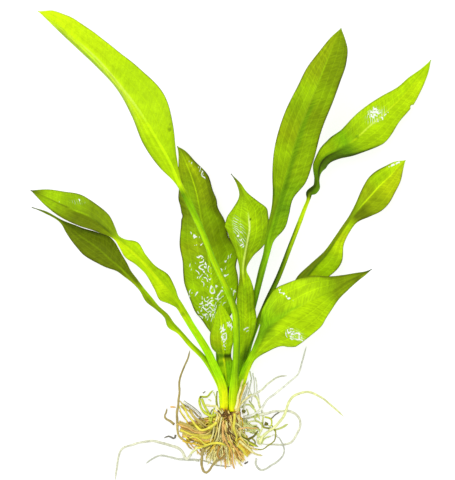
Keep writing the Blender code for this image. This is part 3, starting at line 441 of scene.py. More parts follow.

# Painted shade in darker bands along a margin, or along one side of the midrib, partly the
# leaf's own darker margin; leaf by leaf: the side, where it starts and ends in shares of the
# leaf's length, how far it reaches in from the margin or out from the midrib, the green and how
# strongly it shows.
SHADE_BANDS = {
    "leaf_arching": [
        ("left", 0.54, 0.94, 1.8, "leaf", 0.75), ("right", 0.52, 0.66, 1.5, "leaf", 0.5),
        ("right", 0.06, 0.30, 1.1, "moss", 0.7), ("right", 0.28, 0.44, 0.9, "grass", 0.8),
    ],
    "leaf_tall": [
        ("right of rib", 0.46, 0.80, 2.8, "moss", 0.75), ("left of rib", 0.42, 0.56, 1.6, "pine", 0.5),
        ("right", 0.60, 0.95, 1.6, "dark", 0.5), ("left", 0.45, 0.62, 2.0, "pine", 0.5),
    ],
    "leaf_broad": [
        ("left of rib", 0.34, 0.62, 1.8, "grass", 0.6), ("right of rib", 0.34, 0.50, 1.8, "moss", 0.5),
        ("left", 0.66, 0.95, 2.0, "dark", 0.7), ("left", 0.32, 0.46, 3.5, "pine", 0.5),
        ("right", 0.22, 0.40, 1.2, "olive", 0.6),
    ],
    "leaf_kinked": [
        ("right of rib", 0.575, 0.665, 1.7, "deep", 0.95), ("left", 0.60, 0.70, 1.0, "pine", 0.6),
        ("right", 0.655, 0.76, 2.2, "deep", 0.8),
    ],
    "leaf_pointed": [
        ("right of rib", 0.56, 0.72, 1.5, "olive", 0.6), ("left of rib", 0.62, 0.76, 1.2, "leaf", 0.6),
        ("right", 0.66, 0.92, 1.2, "olive", 0.6),
    ],
    "leaf_back": [
        ("left of rib", 0.62, 0.90, 1.2, "olive", 0.6), ("right of rib", 0.62, 0.90, 1.2, "olive", 0.6),
        ("right", 0.60, 0.97, 3.4, "dark", 0.8), ("right", 0.68, 0.88, 5.0, "dark", 0.8),
        ("right", 0.28, 0.60, 1.3, "dark", 0.6), ("left", 0.72, 0.88, 4.2, "dark", 0.9),
        ("left", 0.30, 0.72, 1.4, "dark", 0.5),
    ],
    "leaf_oval": [("left", 0.62, 0.95, 1.4, "dark", 0.6)],
    "leaf_waisted": [("left", 0.68, 0.90, 1.6, "dark", 0.6), ("right", 0.36, 0.50, 1.2, "leaf", 0.6)],
    "leaf_shaded": [("right", 0.70, 0.92, 3.0, "deep", 0.5)],
}

# Painted highlights, glints where a wet leaf shines white: the middle's x and y, how far it
# reaches along and across its direction, that direction in degrees, and how much of it shines.
# Above 1, it is one patch instead of single strokes.
GLINTS = {
    "leaf_back": [
        (-14.5, 76, 9, 5, 110, 0.7), (-9, 66, 9, 4, 110, 0.8), (-12, 56, 8, 7, 100, 1.0),
        (-21, 64, 4, 2.4, 0, 0.8), (-4, 58, 3.5, 3, 60, 0.7), (-0.6, 84.2, 4.5, 1.0, 48, 1.0),
        (-17.5, 91, 3.6, 0.9, 10, 1.15), (-16.3, 84.3, 2.6, 2.2, 100, 1.0), (-14, 79, 2.2, 1.8, 90, 1.15),
        (-21.8, 78.5, 3.2, 0.8, 90, 0.95), (-4.5, 77.5, 2.6, 2.0, 60, 0.95),
        (1.4, 65.5, 2.6, 2.4, 0, 0.95), (-3, 74, 3.4, 0.9, 15, 1.0), (-6, 64.5, 5, 3, 60, 0.85),
        (-10, 62, 14, 0.9, 92, 1.0), (-15.3, 130, 5, 1.3, 113, 1.0), (-21, 135.5, 4, 0.6, 129, 0.8),
        (-19.7, 96.2, 4.4, 0.8, 141, 1.2),
    ],
    "leaf_pointed": [(6, 92, 5.5, 1.3, 112, 1.0), (9, 45, 3, 1.6, 20, 0.9)],
    "leaf_kinked": [(78.5, 162.5, 4.4, 3.4, 35, 1.25), (83, 160.3, 5, 0.7, 40, 1.25)],
    "leaf_oval": [(90, 135, 5.2, 0.8, 24, 1.3)],
    "leaf_broad": [(29, 64.5, 6.5, 1.0, -42, 1.15), (34.5, 42, 7.5, 3.6, -15, 1.05)],
    "leaf_waisted": [(-83, 114.5, 5, 1.0, 0, 0.6), (-91, 114, 4, 0.8, -10, 0.6)],
    "leaf_young": [(-3.4, 41.5, 8, 2.2, 95, 1.2), (-0.3, 47.5, 3.5, 1.8, 125, 1.25)],
}

# Painted sheen: damp places that shine only on their finest veins, placed as the painted glints
SHEENS = {
    "leaf_pointed": [(5, 98, 9.5, 3.2, 108, 0.9)],
    "leaf_broad": [(36, 42.5, 7, 3, -30, 0.5)],
    "leaf_waisted": [(-82, 114, 5.5, 1.5, 0, 0.25)],
    "leaf_kinked": [(79, 161.5, 7, 4.5, 38, 0.7)],
}

# Small marks, blemishes and, on leaf_kinked and leaf_waisted, painted shade in a crease: x, y,
# radius, the green it is and how strongly it shows
BLEMISHES_AND_CREASE_SHADE = {
    "leaf_arching": [
        (-31.8, 151.5, 1.3, "deep", 0.55), (-31.4, 154, 0.8, "olive", 0.6), (3.2, 0.6, 1.7, "rust", 0.8),
    ],
    "leaf_pointed": [(11, 104.5, 0.7, "deep", 0.9)],
    "leaf_kinked": [(69, 149.5, 1.2, "moss", 0.8)],
    "leaf_waisted": [
        (-25.5, 53.5, 1.3, "moss", 0.6), (-2.0, 0.8, 2.2, "rust", 0.8), (-4, 0.5, 1.5, "rust", 0.6),
    ],
    "leaf_broad": [(20, 43.5, 5, "moss", 0.5), (76.5, 77.5, 2.5, "deep", 0.8)],
}

# Bites out of a margin: the side, how far along the leaf, how wide and how deep
BITES = {
    "leaf_kinked": [("right", 204.6, 2.4, 1.2)],
    "leaf_back": [("left", 109.0, 3.0, 0.7)],
}

# How each leaf looks: the record's slot, how far its margins ruffle and its blade bulges, how
# strongly its veins show and how dark its rim is
LeafFinish = namedtuple("LeafFinish", "slot ruffle quilt veins rim")
LEAF_FINISH = {
    "leaf_arching": LeafFinish("leaf_bright", 0.5, 0.05, 0.06, 0.5),
    "leaf_back": LeafFinish("leaf_dark", 0.6, 0.15, 0.14, 0.9),
    "leaf_pointed": LeafFinish("leaf_green", 0.5, 0.12, 0.16, 0.7),
    "leaf_tall": LeafFinish("leaf_green", 0.7, 0.3, 0.14, 0.8),
    "leaf_kinked": LeafFinish("leaf_bright", 0.6, 0.15, 0.1, 0.6),
    "leaf_oval": LeafFinish("leaf_green", 0.5, 0.1, 0.1, 0.8),
    "leaf_broad": LeafFinish("leaf_bright", 0.5, 0.12, 0.13, 0.5),
    "leaf_waisted": LeafFinish("leaf_bright", 0.5, 0.08, 0.08, 0.6),
    "leaf_shaded": LeafFinish("leaf_dark", 0.4, 0.08, 0.12, 0.7),
    "leaf_young": LeafFinish("leaf_green", 0.3, 0.08, 0.12, 0.6),
}

# Roots
RING_STEP = 1.2  # between the rings of a root's mesh
LEAST_RINGS = 6
FLOOR_GAP = 0.05  # the least between a root's skin and the surface
TUFT_SIDES, LOOSE_SIDES, ROOT_SIDES = 7, 10, 12  # of each kind's cross section
TUFT_SWAY, LOOSE_SWAY, BAND_SWAY, ROOT_SWAY = 1.0, 0.25, 0.35, 0.15
ROOT_WAVES = (9, 8, 4)  # how long its waves are: sideways, up, and of its radius
ROOT_UNEVEN = 0.08
BLUNT_FROM = 0.93  # from this share of its length, a root rounds off to its tip
BLUNT_TIP = 0.96
ROOT_TAPER = 0.6  # radius at a long root's tip against its base
FLANK_SHADE = 0.55  # painted shade: how dark a root is underneath, of its upper side

# The dense bunches of fine roots, fanned about the crown: the direction each grows in and half
# the angle it fills, in degrees, and how far it reaches from the crown's middle.
TUFTS = {
    "root_tuft_left": (-163.2, 6.1, 30.5),
    "root_tuft_left_low": (-148.8, 6.1, 28.9),
    "root_tuft_lower_left": (-132.4, 8.1, 28.3),
    "root_tuft_bottom_left": (-113.1, 9.0, 31.1),
    "root_tuft_bottom": (-93.8, 8.1, 29.3),
    "root_tuft_bottom_right": (-76.9, 6.6, 29.2),
    "root_tuft_lower_right": (-60.1, 8.0, 26.0),
    "root_tuft_right": (-28, 9.0, 23.3),
}
TUFT_CENTRE = np.array([0.0, -3.0, 0.0])
TUFT_TOP = 13.5  # the height of a tuft where it leaves the crown
TUFT_TIP_TOP = 2.6  # and at its end
TUFT_LIFT = 0.5  # the height of its lowest strand, besides that strand's share of the top
TUFT_LOWEST = 0.12  # that share
ROOT_SOURCE = np.array([-0.3, -2.4, 0.0])  # the middle of the crown, which the roots leave

# One strand of a tuft: how far it reaches, of the tuft, and where and at which turn it leaves
STRAND_KNOTS = (0.0, 0.22, 0.45, 0.7, 0.88, 1.0)  # the shares of its way that set its course
STRAND_REACH = (0.75, 1.0)
LOW_REACH, REACH_GROWTH = 0.84, 0.14  # of the lowest one, and how much more the highest has
LEAVE_TURN = 16  # in degrees, to either side
LEAVE_OUT = (1.0, 4.0)  # from the source
STRAND_FOOT, STRAND_TIP = (0.28, 0.5), (0.26, 0.42)  # radii
STRAND_FADE = (0.8, 1.15)  # how light its tip is, of its foot
COLOUR_STRAY = 0.8  # how far its colour strays from that of its height, in colours

# The colours of roots, by name
ROOT_COLOURS = {
    "cream": srgb(255, 247, 166), "straw": srgb(254, 234, 124), "lemon": srgb(250, 240, 84),
    "gold": srgb(242, 208, 68), "amber": srgb(234, 180, 70), "tan": srgb(252, 204, 116),
    "khaki": srgb(212, 192, 104), "drab": srgb(182, 164, 98), "brown": srgb(196, 148, 60),
    "bark": srgb(112, 78, 22), "bone": srgb(238, 240, 208), "pale": srgb(250, 255, 178),
    "mist": srgb(248, 250, 230), "ash": srgb(214, 218, 196), "sage": srgb(226, 238, 136),
    "green": srgb(218, 230, 72), "olive": srgb(164, 166, 52), "moss": srgb(122, 120, 30),
    "slate": srgb(128, 124, 104), "white": srgb(254, 255, 240),
}

# How many strands each tuft has, and their colours from the lowest to the highest, the lower
# ones darker, partly as painted shade beneath the upper ones
TUFT_COLOURS = {
    "root_tuft_left": (64, ("bark", "brown", "amber", "gold", "amber", "tan", "lemon")),
    "root_tuft_left_low": (64, ("bark", "brown", "amber", "gold", "amber", "gold", "lemon")),
    "root_tuft_lower_left": (66, ("brown", "gold", "lemon", "straw", "lemon", "cream")),
    "root_tuft_bottom_left": (72, ("brown", "tan", "gold", "straw", "cream", "cream")),
    "root_tuft_bottom": (72, ("brown", "tan", "tan", "straw", "cream", "cream")),
    "root_tuft_bottom_right": (66, ("brown", "tan", "amber", "tan", "straw", "cream")),
    "root_tuft_lower_right": (46, ("bark", "moss", "tan", "straw", "green", "cream")),
    "root_tuft_right": (14, ("olive", "sage", "pale", "green", "sage", "pale")),
}

# Roots that lie loose on and about the tufts: the colour, the radius at the foot and at the
# tip, how wide each is against its height, then the x, y, z of points along it.
LOOSE_ROOTS = [
    ("khaki", 0.6, 0.5, 1, (-22, 1, 7), (-20.5, -2, 8), (-18, -4, 9), (-16, -6, 9.5), (-14, -7.5, 10.5),
     (-12, -8.5, 11)),
    ("mist", 0.5, 0.5, 1, (-25.5, 5, 5), (-22.5, 3, 5.5), (-19, 0.5, 6.5), (-16, -2.5, 7.5),
     (-15, -5, 8)),
    ("slate", 0.2, 0.2, 1, (-26, 4, 5), (-23, 2, 6), (-19.5, -1, 7), (-17, -3.5, 8)),
    ("slate", 0.18, 0.18, 1, (-25, 5.5, 5), (-22, 3.5, 6), (-18.5, 1, 7), (-15.5, -2, 8)),
    ("khaki", 0.5, 0.4, 1, (-27, 3, 6), (-24.5, 0, 7), (-22.5, -3, 7.5), (-20, -5.5, 8.5),
     (-18, -8, 9)),
    ("brown", 0.4, 0.4, 1, (-27.5, 0, 5), (-25.5, -3, 6), (-23.5, -5.5, 7), (-21.5, -8, 8)),
    ("khaki", 0.7, 0.5, 1, (-28.5, -6.5, 5), (-29, -10, 4.5), (-28.5, -12.5, 4.5), (-26.5, -15.5, 4),
     (-24, -18, 3.5), (-22.5, -20, 3.5), (-20.5, -21.5, 3)),
    ("tan", 0.5, 0.4, 1, (-32.5, 2, 3), (-31, 2, 4.5), (-29.5, 2, 6)),
    ("gold", 0.8, 0.7, 1.4, (-28, -6.5, 6), (-25.5, -7.5, 7), (-22, -8.5, 8), (-19, -10.5, 9),
     (-16, -10.5, 10), (-12.5, -10, 11)),
    ("amber", 1.1, 0.9, 1.9, (-27, -9.5, 4), (-23, -11, 5), (-18.5, -12, 6.5), (-14, -12.5, 7.5),
     (-10, -11.5, 9)),
    ("amber", 1.1, 0.9, 1.9, (-26, -12.5, 4), (-21.5, -13, 5.5), (-17, -14, 6.5), (-13, -15, 8),
     (-9.5, -13.5, 9)),
    ("gold", 0.9, 0.7, 1.6, (-24, -15.5, 3), (-19.5, -15.5, 4.5), (-16, -16.5, 5.5), (-12, -16.5, 7),
     (-9, -15, 8)),
    ("brown", 0.4, 0.4, 1, (-27.5, -8, 5), (-25, -9.5, 6), (-22, -10, 7.5), (-19, -11, 9)),
    ("bark", 0.35, 0.35, 1, (-23.5, -14.5, 6), (-21.5, -15.5, 7.5), (-19.5, -16, 9)),
    ("lemon", 0.5, 0.4, 1, (-25, -14, 6), (-22.5, -15, 6.5), (-21, -14, 7), (-18.5, -14.5, 7),
     (-16, -16, 7.5), (-13.5, -18, 8), (-11.5, -18, 8.5), (-8.5, -17.5, 9)),
    ("straw", 0.5, 0.4, 1, (-18.5, -11, 7), (-16, -12.5, 8), (-13, -12.5, 9), (-10, -10.5, 10)),
    ("lemon", 0.7, 0.6, 1, (-17.5, -20.5, 5), (-13.5, -19, 7), (-10, -17.5, 9), (-6.5, -17, 10.5),
     (-4, -17.5, 11), (-2, -19, 9)),
    ("gold", 0.5, 0.5, 1, (-26, -16.5, 4), (-23, -17.5, 4.5), (-19.5, -18, 5.5), (-17, -18.5, 6.5),
     (-14, -19, 7)),
    ("pale", 0.7, 0.6, 1, (-17, -19.5, 5), (-19, -21.5, 4), (-20.5, -22.5, 3.5), (-22, -24.5, 2.5)),
    ("tan", 0.4, 0.3, 1, (-22.5, -17, 5), (-20.5, -19.5, 4), (-18.5, -21.5, 3.5), (-16.5, -24, 2.5),
     (-15, -25.5, 2)),
    ("straw", 0.4, 0.3, 1, (-19, -19.5, 5), (-18, -22, 3.5), (-18, -24.5, 2)),
    ("brown", 0.35, 0.3, 1, (-16.5, -20.5, 5), (-16, -23, 3.5), (-14, -25, 2)),
    ("green", 0.7, 0.6, 1, (-15.5, 6.5, 4), (-14, 3, 5.5), (-12.5, 0, 7), (-11, -3, 8),
     (-10.5, -5.5, 9), (-9.5, -7, 10)),
    ("moss", 0.6, 0.5, 1, (-16.5, 7.5, 4), (-15.5, 7.5, 4)),
    ("green", 0.6, 0.5, 1, (-8.5, 2, 9), (-9, 0, 9), (-9.5, -2.5, 9.5), (-10, -5, 10), (-11, -7, 10)),
    ("olive", 0.4, 0.4, 1, (-9.5, 1, 8), (-10.5, -1, 8.5), (-10.5, -3.5, 9)),
    ("cream", 0.6, 0.6, 1, (-14.5, 3, 4), (-11, 3, 7), (-8.5, 3, 9), (-7, 2.5, 10.5), (-5.5, 1, 12)),
    ("sage", 0.3, 0.3, 1, (-9, 10, 2), (-8, 7, 4.5), (-8, 4.5, 7), (-7.5, 2, 9)),
    ("olive", 0.4, 0.5, 1, (-7, 10.5, 3), (-7, 8, 5.5), (-7, 4.5, 8.5), (-6.5, 2, 11)),
    ("slate", 0.25, 0.3, 1, (-6, 8, 6), (-5.5, 5.5, 8.5), (-5.5, 3, 11)),
    ("pale", 0.35, 0.3, 1, (-10.5, 5, 1.5), (-12, 6, 1.5)),
    ("slate", 0.35, 0.25, 1, (-15, 9.5, 1), (-13.5, 10.5, 1)),
    ("cream", 0.55, 0.5, 1, (-7.5, 3.5, 14), (-6.5, 1.5, 14.5), (-5, 0, 15), (-4.5, -1, 15.5),
     (-3.5, 0.5, 15.5), (-4.5, 1.5, 16)),
    ("straw", 0.5, 0.5, 1, (-8.5, 1, 15), (-7.5, 0, 15.5), (-6, -0.5, 15.5), (-5, -2.5, 16)),
    ("bark", 0.5, 0.5, 1, (-6.5, 1, 15.5), (-5.5, -1, 15.5), (-4, -2, 16), (-2, -0.5, 16)),
    ("bark", 0.55, 0.5, 1, (-2.5, 1.5, 16), (-1.5, -0.5, 16), (0.5, -1, 16), (1.5, 0, 16)),
    ("brown", 0.6, 0.5, 1, (-4.5, 2, 15.5), (-3, 1, 15), (-1.5, 1.5, 15)),
    ("straw", 0.45, 0.4, 1, (-1, 0.5, 16), (0.5, -2.5, 15.5), (1, -5, 15)),
    ("cream", 0.4, 0.35, 1, (-2, -5.5, 15.5), (-1, -8, 15), (-0.5, -10, 14)),
    ("cream", 0.4, 0.35, 1, (-1, -9.5, 14.5), (0.5, -11, 13.5), (2, -13, 12.5)),
    ("straw", 0.4, 0.35, 1, (-0.5, -12.5, 13), (0.5, -15, 12), (1.5, -17, 11)),
    ("cream", 0.5, 0.45, 1, (-6.5, -1, 14), (-7.5, -4.5, 13), (-8.5, -8, 11.5), (-9, -11, 10.5),
     (-10, -14.5, 9), (-11, -17.5, 8)),
    ("straw", 0.5, 0.4, 1, (-5.5, -1.5, 14), (-6.5, -5.5, 12.5), (-7, -9.5, 11.5), (-8, -13.5, 10),
     (-8.5, -16, 9)),
    ("cream", 0.55, 0.45, 1, (-4.5, -2.5, 14.5), (-5, -6.5, 13), (-6, -10.5, 11.5), (-6.5, -14, 10),
     (-7.5, -17, 9)),
    ("bark", 0.3, 0.3, 1, (-5, -3.5, 14), (-6, -7, 12.5), (-6.5, -11, 11), (-7, -13.5, 10)),
    ("tan", 0.55, 0.5, 1, (-3.5, -4.5, 15), (-4, -9, 13), (-4, -13.5, 11), (-3.5, -18, 9)),
    ("bark", 0.35, 0.3, 1, (-4, -5, 15), (-4.5, -9, 12.5), (-4.5, -13, 10)),
    ("straw", 0.5, 0.4, 1, (-2, -5, 15), (-2.5, -9.5, 13), (-1.5, -13.5, 11), (-0.5, -16.5, 9),
     (1, -21.5, 7)),
    ("tan", 0.7, 0.6, 1, (-3.5, -6.5, 14.5), (-2, -11, 12), (-0.5, -15, 10), (1.5, -18.5, 8),
     (4.5, -22, 6), (7, -24.5, 4)),
    ("tan", 0.55, 0.55, 1, (-4, -11.5, 12), (-2.5, -15.5, 10), (-0.5, -19.5, 7.5), (1, -24, 5.5),
     (1.5, -28.5, 3.5), (2.5, -32.5, 1.5)),
    ("straw", 0.5, 0.4, 1, (0, -3.5, 15), (1, -7, 13.5), (1, -10.5, 12.5), (0.5, -14, 11)),
    ("lemon", 0.75, 0.55, 1, (2.3, -0.5, 16), (2.2, -4.5, 15), (2.2, -8, 14), (2.8, -11, 12.5),
     (3.8, -13.5, 11.5), (3.2, -15.5, 10.5), (2.5, -17.5, 9)),
    ("brown", 0.35, 0.3, 1, (1, -6, 14), (0, -10, 12.5), (1.5, -14, 10.5), (3.5, -17, 9)),
    ("bark", 0.35, 0.35, 1, (-1.5, -6, 15.5), (0, -10.5, 14.5), (1.5, -12.5, 13), (3.5, -14.5, 11)),
    ("bark", 0.3, 0.3, 1, (-2, -11, 13), (0.5, -14, 12), (2.5, -16, 11), (3.5, -17.5, 10)),
    ("tan", 0.35, 0.35, 1, (4.5, -9.5, 12), (9.5, -9, 9), (15.5, -9.5, 5)),
    ("straw", 0.6, 0.4, 1, (4.5, -1.5, 13), (5.5, -5.5, 11), (5.5, -9.5, 9), (4.5, -13.5, 7.5),
     (5.5, -16.5, 6)),
    ("cream", 0.5, 0.4, 1, (3.5, -1.5, 14), (4.5, -5, 12), (4, -9, 10)),
    ("gold", 0.45, 0.4, 1, (6, -3, 12), (7, -6, 10), (6.5, -9, 8)),
    ("amber", 1, 0.9, 1.9, (3.5, -15.5, 9), (6.5, -19, 6.5), (9, -22, 5), (11, -24.5, 3)),
    ("cream", 0.65, 0.5, 1, (5, -16, 9.5), (7, -18, 8), (9.5, -20.5, 6.5), (12, -22.5, 4.5),
     (15, -24, 3), (18, -25, 1.5)),
    ("straw", 0.55, 0.4, 1, (5.5, -14, 9), (7.5, -17, 7), (11, -19.5, 5), (14.5, -21.5, 3),
     (16, -21.5, 2)),
    ("gold", 0.5, 0.4, 1, (-0.5, -19.5, 8), (0, -24, 5.5), (0.5, -28.5, 3), (0.5, -30.5, 2)),
    ("tan", 0.7, 0.5, 1, (-3.5, -23.5, 5), (-2.5, -28.5, 3), (-2.5, -32.5, 1)),
    ("gold", 0.65, 0.5, 1, (-8, -18, 8), (-10, -21, 6), (-11.5, -24, 3.5), (-12.5, -26.5, 2)),
    ("straw", 0.5, 0.4, 1, (-8.5, -19.5, 7), (-9, -24, 4), (-9, -28, 1.5)),
    ("brown", 0.55, 0.4, 1, (-6, -19, 8), (-6.5, -22, 8), (-6.5, -24.5, 7.5), (-5.5, -26, 7.5),
     (-4, -25.5, 7), (-2.5, -23, 7)),
    ("straw", 0.6, 0.4, 1, (1.5, -20, 9), (3.5, -25, 5.5), (5.5, -29, 2.5), (7, -31, 1)),
    ("amber", 0.65, 0.5, 1, (3.5, -20, 8), (5, -24.5, 4.5), (6.5, -28.5, 2)),
    ("slate", 0.45, 0.35, 1, (8, -29.5, 1), (9, -29, 1), (10, -28, 1.5)),
    ("cream", 0.5, 0.4, 1, (-2, -19.5, 9), (-1.5, -24, 5), (-1, -28, 2)),
    ("gold", 0.5, 0.4, 1, (-5, -18.5, 8), (-6, -21.5, 5.5), (-7.5, -24.5, 3)),
    ("straw", 0.5, 0.3, 1, (-11, -19.5, 7), (-13.5, -21.5, 5.5), (-15.5, -23, 4), (-17.5, -24, 3)),
    ("tan", 0.5, 0.4, 1, (1.5, -18.5, 10), (3.5, -21.5, 7.5), (6, -25.5, 5), (8.5, -27.5, 3)),
    ("brown", 0.5, 0.4, 1, (2.5, -22.5, 8), (4.5, -26.5, 4.5), (6, -30, 2)),
    ("lemon", 0.45, 0.3, 1, (-1, -16, 10), (1.5, -19.5, 7.5), (3.5, -23, 5), (4.5, -26.5, 3)),
    ("moss", 0.8, 0.6, 1, (5, -10.5, 8), (5.5, -13.5, 6.5), (7.5, -15, 6), (10, -15.5, 5)),
    ("moss", 0.7, 0.5, 1, (9.5, -16, 5.5), (11, -15, 5), (13.5, -13.5, 4.5), (15.5, -11, 4)),
    ("olive", 0.6, 0.5, 1, (9, -17, 5), (11, -17.5, 4.5), (13, -18.5, 3.5), (15.5, -20, 3)),
    ("green", 0.5, 0.4, 1, (7, -16, 6), (10, -17.5, 5), (12.5, -19, 4), (15, -20, 3)),
    ("olive", 0.5, 0.4, 1, (12, -15, 5), (13.5, -16.5, 4), (14, -18.5, 3)),
    ("pale", 0.6, 0.55, 1, (10, 8, 3), (11.5, 8.5, 3), (13.5, 8, 3), (15.5, 5.5, 3), (16.5, 2.5, 3),
     (17.5, -1, 3), (18, -4.5, 3), (17.5, -7.5, 3), (17.5, -10, 3), (16, -13, 3), (15, -16, 3),
     (15.5, -18, 3), (17.5, -19, 3)),
    ("mist", 0.35, 0.35, 1, (14, 18, 1), (14.5, 13.5, 1.5), (15, 9, 2.5), (16, 4.5, 3), (17, 1, 3.5),
     (17.5, -3, 4)),
    ("sage", 0.5, 0.5, 1, (6, 2, 9), (8.5, 3.5, 8), (11, 3.5, 7.5), (12.5, 2, 7), (14, 0, 6.5),
     (13.5, -3, 6), (14, -5, 5.5), (16, -6, 5), (18, -8.5, 4)),
    ("sage", 0.4, 0.35, 1, (10.5, 5.5, 3), (12, 3.5, 3.5), (13.5, 1.5, 4)),
    ("moss", 0.9, 0.8, 1, (6.6, 0.4, 11), (7.6, 0.2, 11), (8.6, -0.2, 10.5)),
    ("sage", 0.45, 0.4, 1, (9.5, -2, 6), (12, -3.5, 5.5), (14, -3.5, 5.5), (16.5, -3, 5)),
    ("pale", 0.5, 0.4, 1, (9.5, -7, 5), (12, -6, 4.5), (15.5, -6, 4.5), (18, -7.5, 4)),
    ("green", 0.5, 0.45, 1, (19, -3.5, 4), (21, -4, 4), (22.5, -4.5, 4.5), (23, -6.5, 4.5),
     (22.5, -8.5, 5), (20.5, -8, 5)),
    ("moss", 1.1, 0.9, 1, (19, -7, 4.5), (20, -7.5, 4.5), (21, -7, 4.5)),
    ("olive", 0.6, 0.5, 1, (17.5, -6.5, 4), (18.5, -9, 4), (21, -9.5, 3.5), (23.5, -9.5, 3.5)),
    ("slate", 0.4, 0.4, 1, (22.5, -4.5, 4), (25, -2.5, 3), (27.5, -1, 2.5)),
    ("sage", 0.55, 0.6, 1, (24, -11, 2.5), (28, -9.5, 2), (32, -7.5, 1.5)),
    ("pale", 0.9, 0.7, 1, (16, -18, 3), (17, -15.5, 3), (18.5, -13.5, 3), (21, -11.5, 3),
     (24, -10.5, 3)),
    ("sage", 0.5, 0.4, 1, (17.5, -18.5, 2), (18.5, -16.5, 2), (20, -15, 2.5), (22.5, -14, 2.5)),
    ("olive", 0.4, 0.3, 1, (22.5, -7.5, 4), (24.5, -10.5, 3.5), (25, -13.5, 3.5), (24.5, -16, 3),
     (22.5, -18, 3), (21, -19.5, 3), (18.5, -21, 2.5), (15.5, -21.5, 2.5), (12, -21, 2)),
    ("mist", 0.4, 0.3, 1, (21, -15, 2), (22.5, -14, 2), (24.5, -13.5, 1.5), (26.5, -14, 1.5)),
    ("green", 0.4, 0.35, 1, (14, -1, 5), (16, -3, 5), (16.5, -5, 5)),
    ("pale", 0.4, 0.35, 1, (9, 1, 5), (10, -2.5, 5), (9, -5, 5), (7.5, -7.5, 5)),
    ("sage", 0.35, 0.3, 1, (15, -8, 4), (12, -8, 4), (9.5, -5.5, 4), (8, -3.5, 4)),
    ("straw", 0.6, 0.45, 1.3, (3.1, 0.6, 16.2), (3.8, 2.4, 16), (5.1, 6, 15), (6.7, 10.4, 14),
     (8.8, 15.8, 12.5)),
    ("gold", 0.35, 0.25, 1, (3.4, 1.7, 16.8), (4.2, 4.4, 16.4), (5.8, 9.3, 15.4), (7.7, 14.7, 14)),
    ("cream", 0.55, 0.4, 1.3, (2.9, 1.7, 17), (3.6, 4.4, 16.8), (4.5, 8.8, 16), (5.6, 13.1, 15.2),
     (7.2, 18, 14.4)),
    ("white", 0.4, 0.3, 1.3, (5.5, 2, 11), (7, 7, 10), (8.8, 12, 9), (10, 16.5, 8)),
    ("cream", 0.45, 0.4, 1, (3.4, -0.4, 15), (5.8, 4, 14), (8.6, 7.2, 12), (11.5, 9.2, 10)),
    ("moss", 0.7, 0.6, 1, (-0.9, 3, 11.5), (-0.8, 8, 11.8), (-0.6, 14, 12)),
    ("mist", 0.3, 0.25, 1, (7, 5, 9), (9, 10, 7.5), (10, 13.5, 6)),
    ("mist", 0.4, 0.3, 1, (11, 21.5, 2), (11.5, 16.5, 3), (11, 12.5, 4), (9.5, 8, 5)),
    ("mist", 0.35, 0.25, 1, (12.5, 20.5, 1.5), (13.5, 14.5, 2.5), (13, 9.5, 3.5), (10.5, 6.5, 4)),
    ("mist", 0.3, 0.25, 1, (9, 15, 4), (11, 10.5, 3), (12, 7, 2), (11.5, 3.5, 1.5)),
    ("slate", 0.35, 0.3, 1, (11.5, 16.5, 2.5), (12, 15, 2.5)),
    ("mist", 0.35, 0.25, 1, (9, 20, 3), (10, 24, 2), (12, 26.5, 1)),
    ("pale", 0.35, 0.3, 1, (5, 1, 9), (7, 4.5, 7), (10, 7, 5), (11.5, 8.5, 4)),
    ("khaki", 0.4, 0.4, 1, (-27.5, 5.5, 6), (-22, -1, 8), (-17.5, -5.5, 9), (-13, -9.5, 10)),
    ("drab", 0.35, 0.35, 1, (-25.5, 3.5, 6), (-18.5, -1.5, 8), (-13, -6, 9.5)),
    ("lemon", 0.35, 0.35, 1, (-28, 3, 6), (-25.5, -2.5, 7), (-21.5, -8, 7.5), (-17, -11.5, 8.5)),
    ("bark", 0.5, 0.4, 1, (-14, -8, 10.5), (-12.5, -9, 11), (-11.5, -10, 11)),
    ("ash", 0.4, 0.35, 1, (-17, -27, 0.8), (-13.5, -28, 0.8), (-8, -30, 0.8), (-2.5, -31, 0.8),
     (0.5, -31, 0.8)),
]

# Above this width against its height, a loose root is a band of fine ones side by side
BAND_FROM = 1.3
BAND_COLOURS = ("amber", "gold", "tan", "gold", "lemon", "khaki")
BAND_COUNT, BAND_COUNT_GROWTH = 2, 2.5  # fine roots, and how many more for each unit of width
BAND_SPREAD = 0.85  # how far the outer ones lie from the middle, of half the width
BAND_WANDER = (0.8, 1.15)  # and of that, how it varies along them
BAND_LIFT = 0.3  # up or down
FINE_RADIUS = (0.36, 0.55)  # of the band's own
FINE_TAPER = 0.8

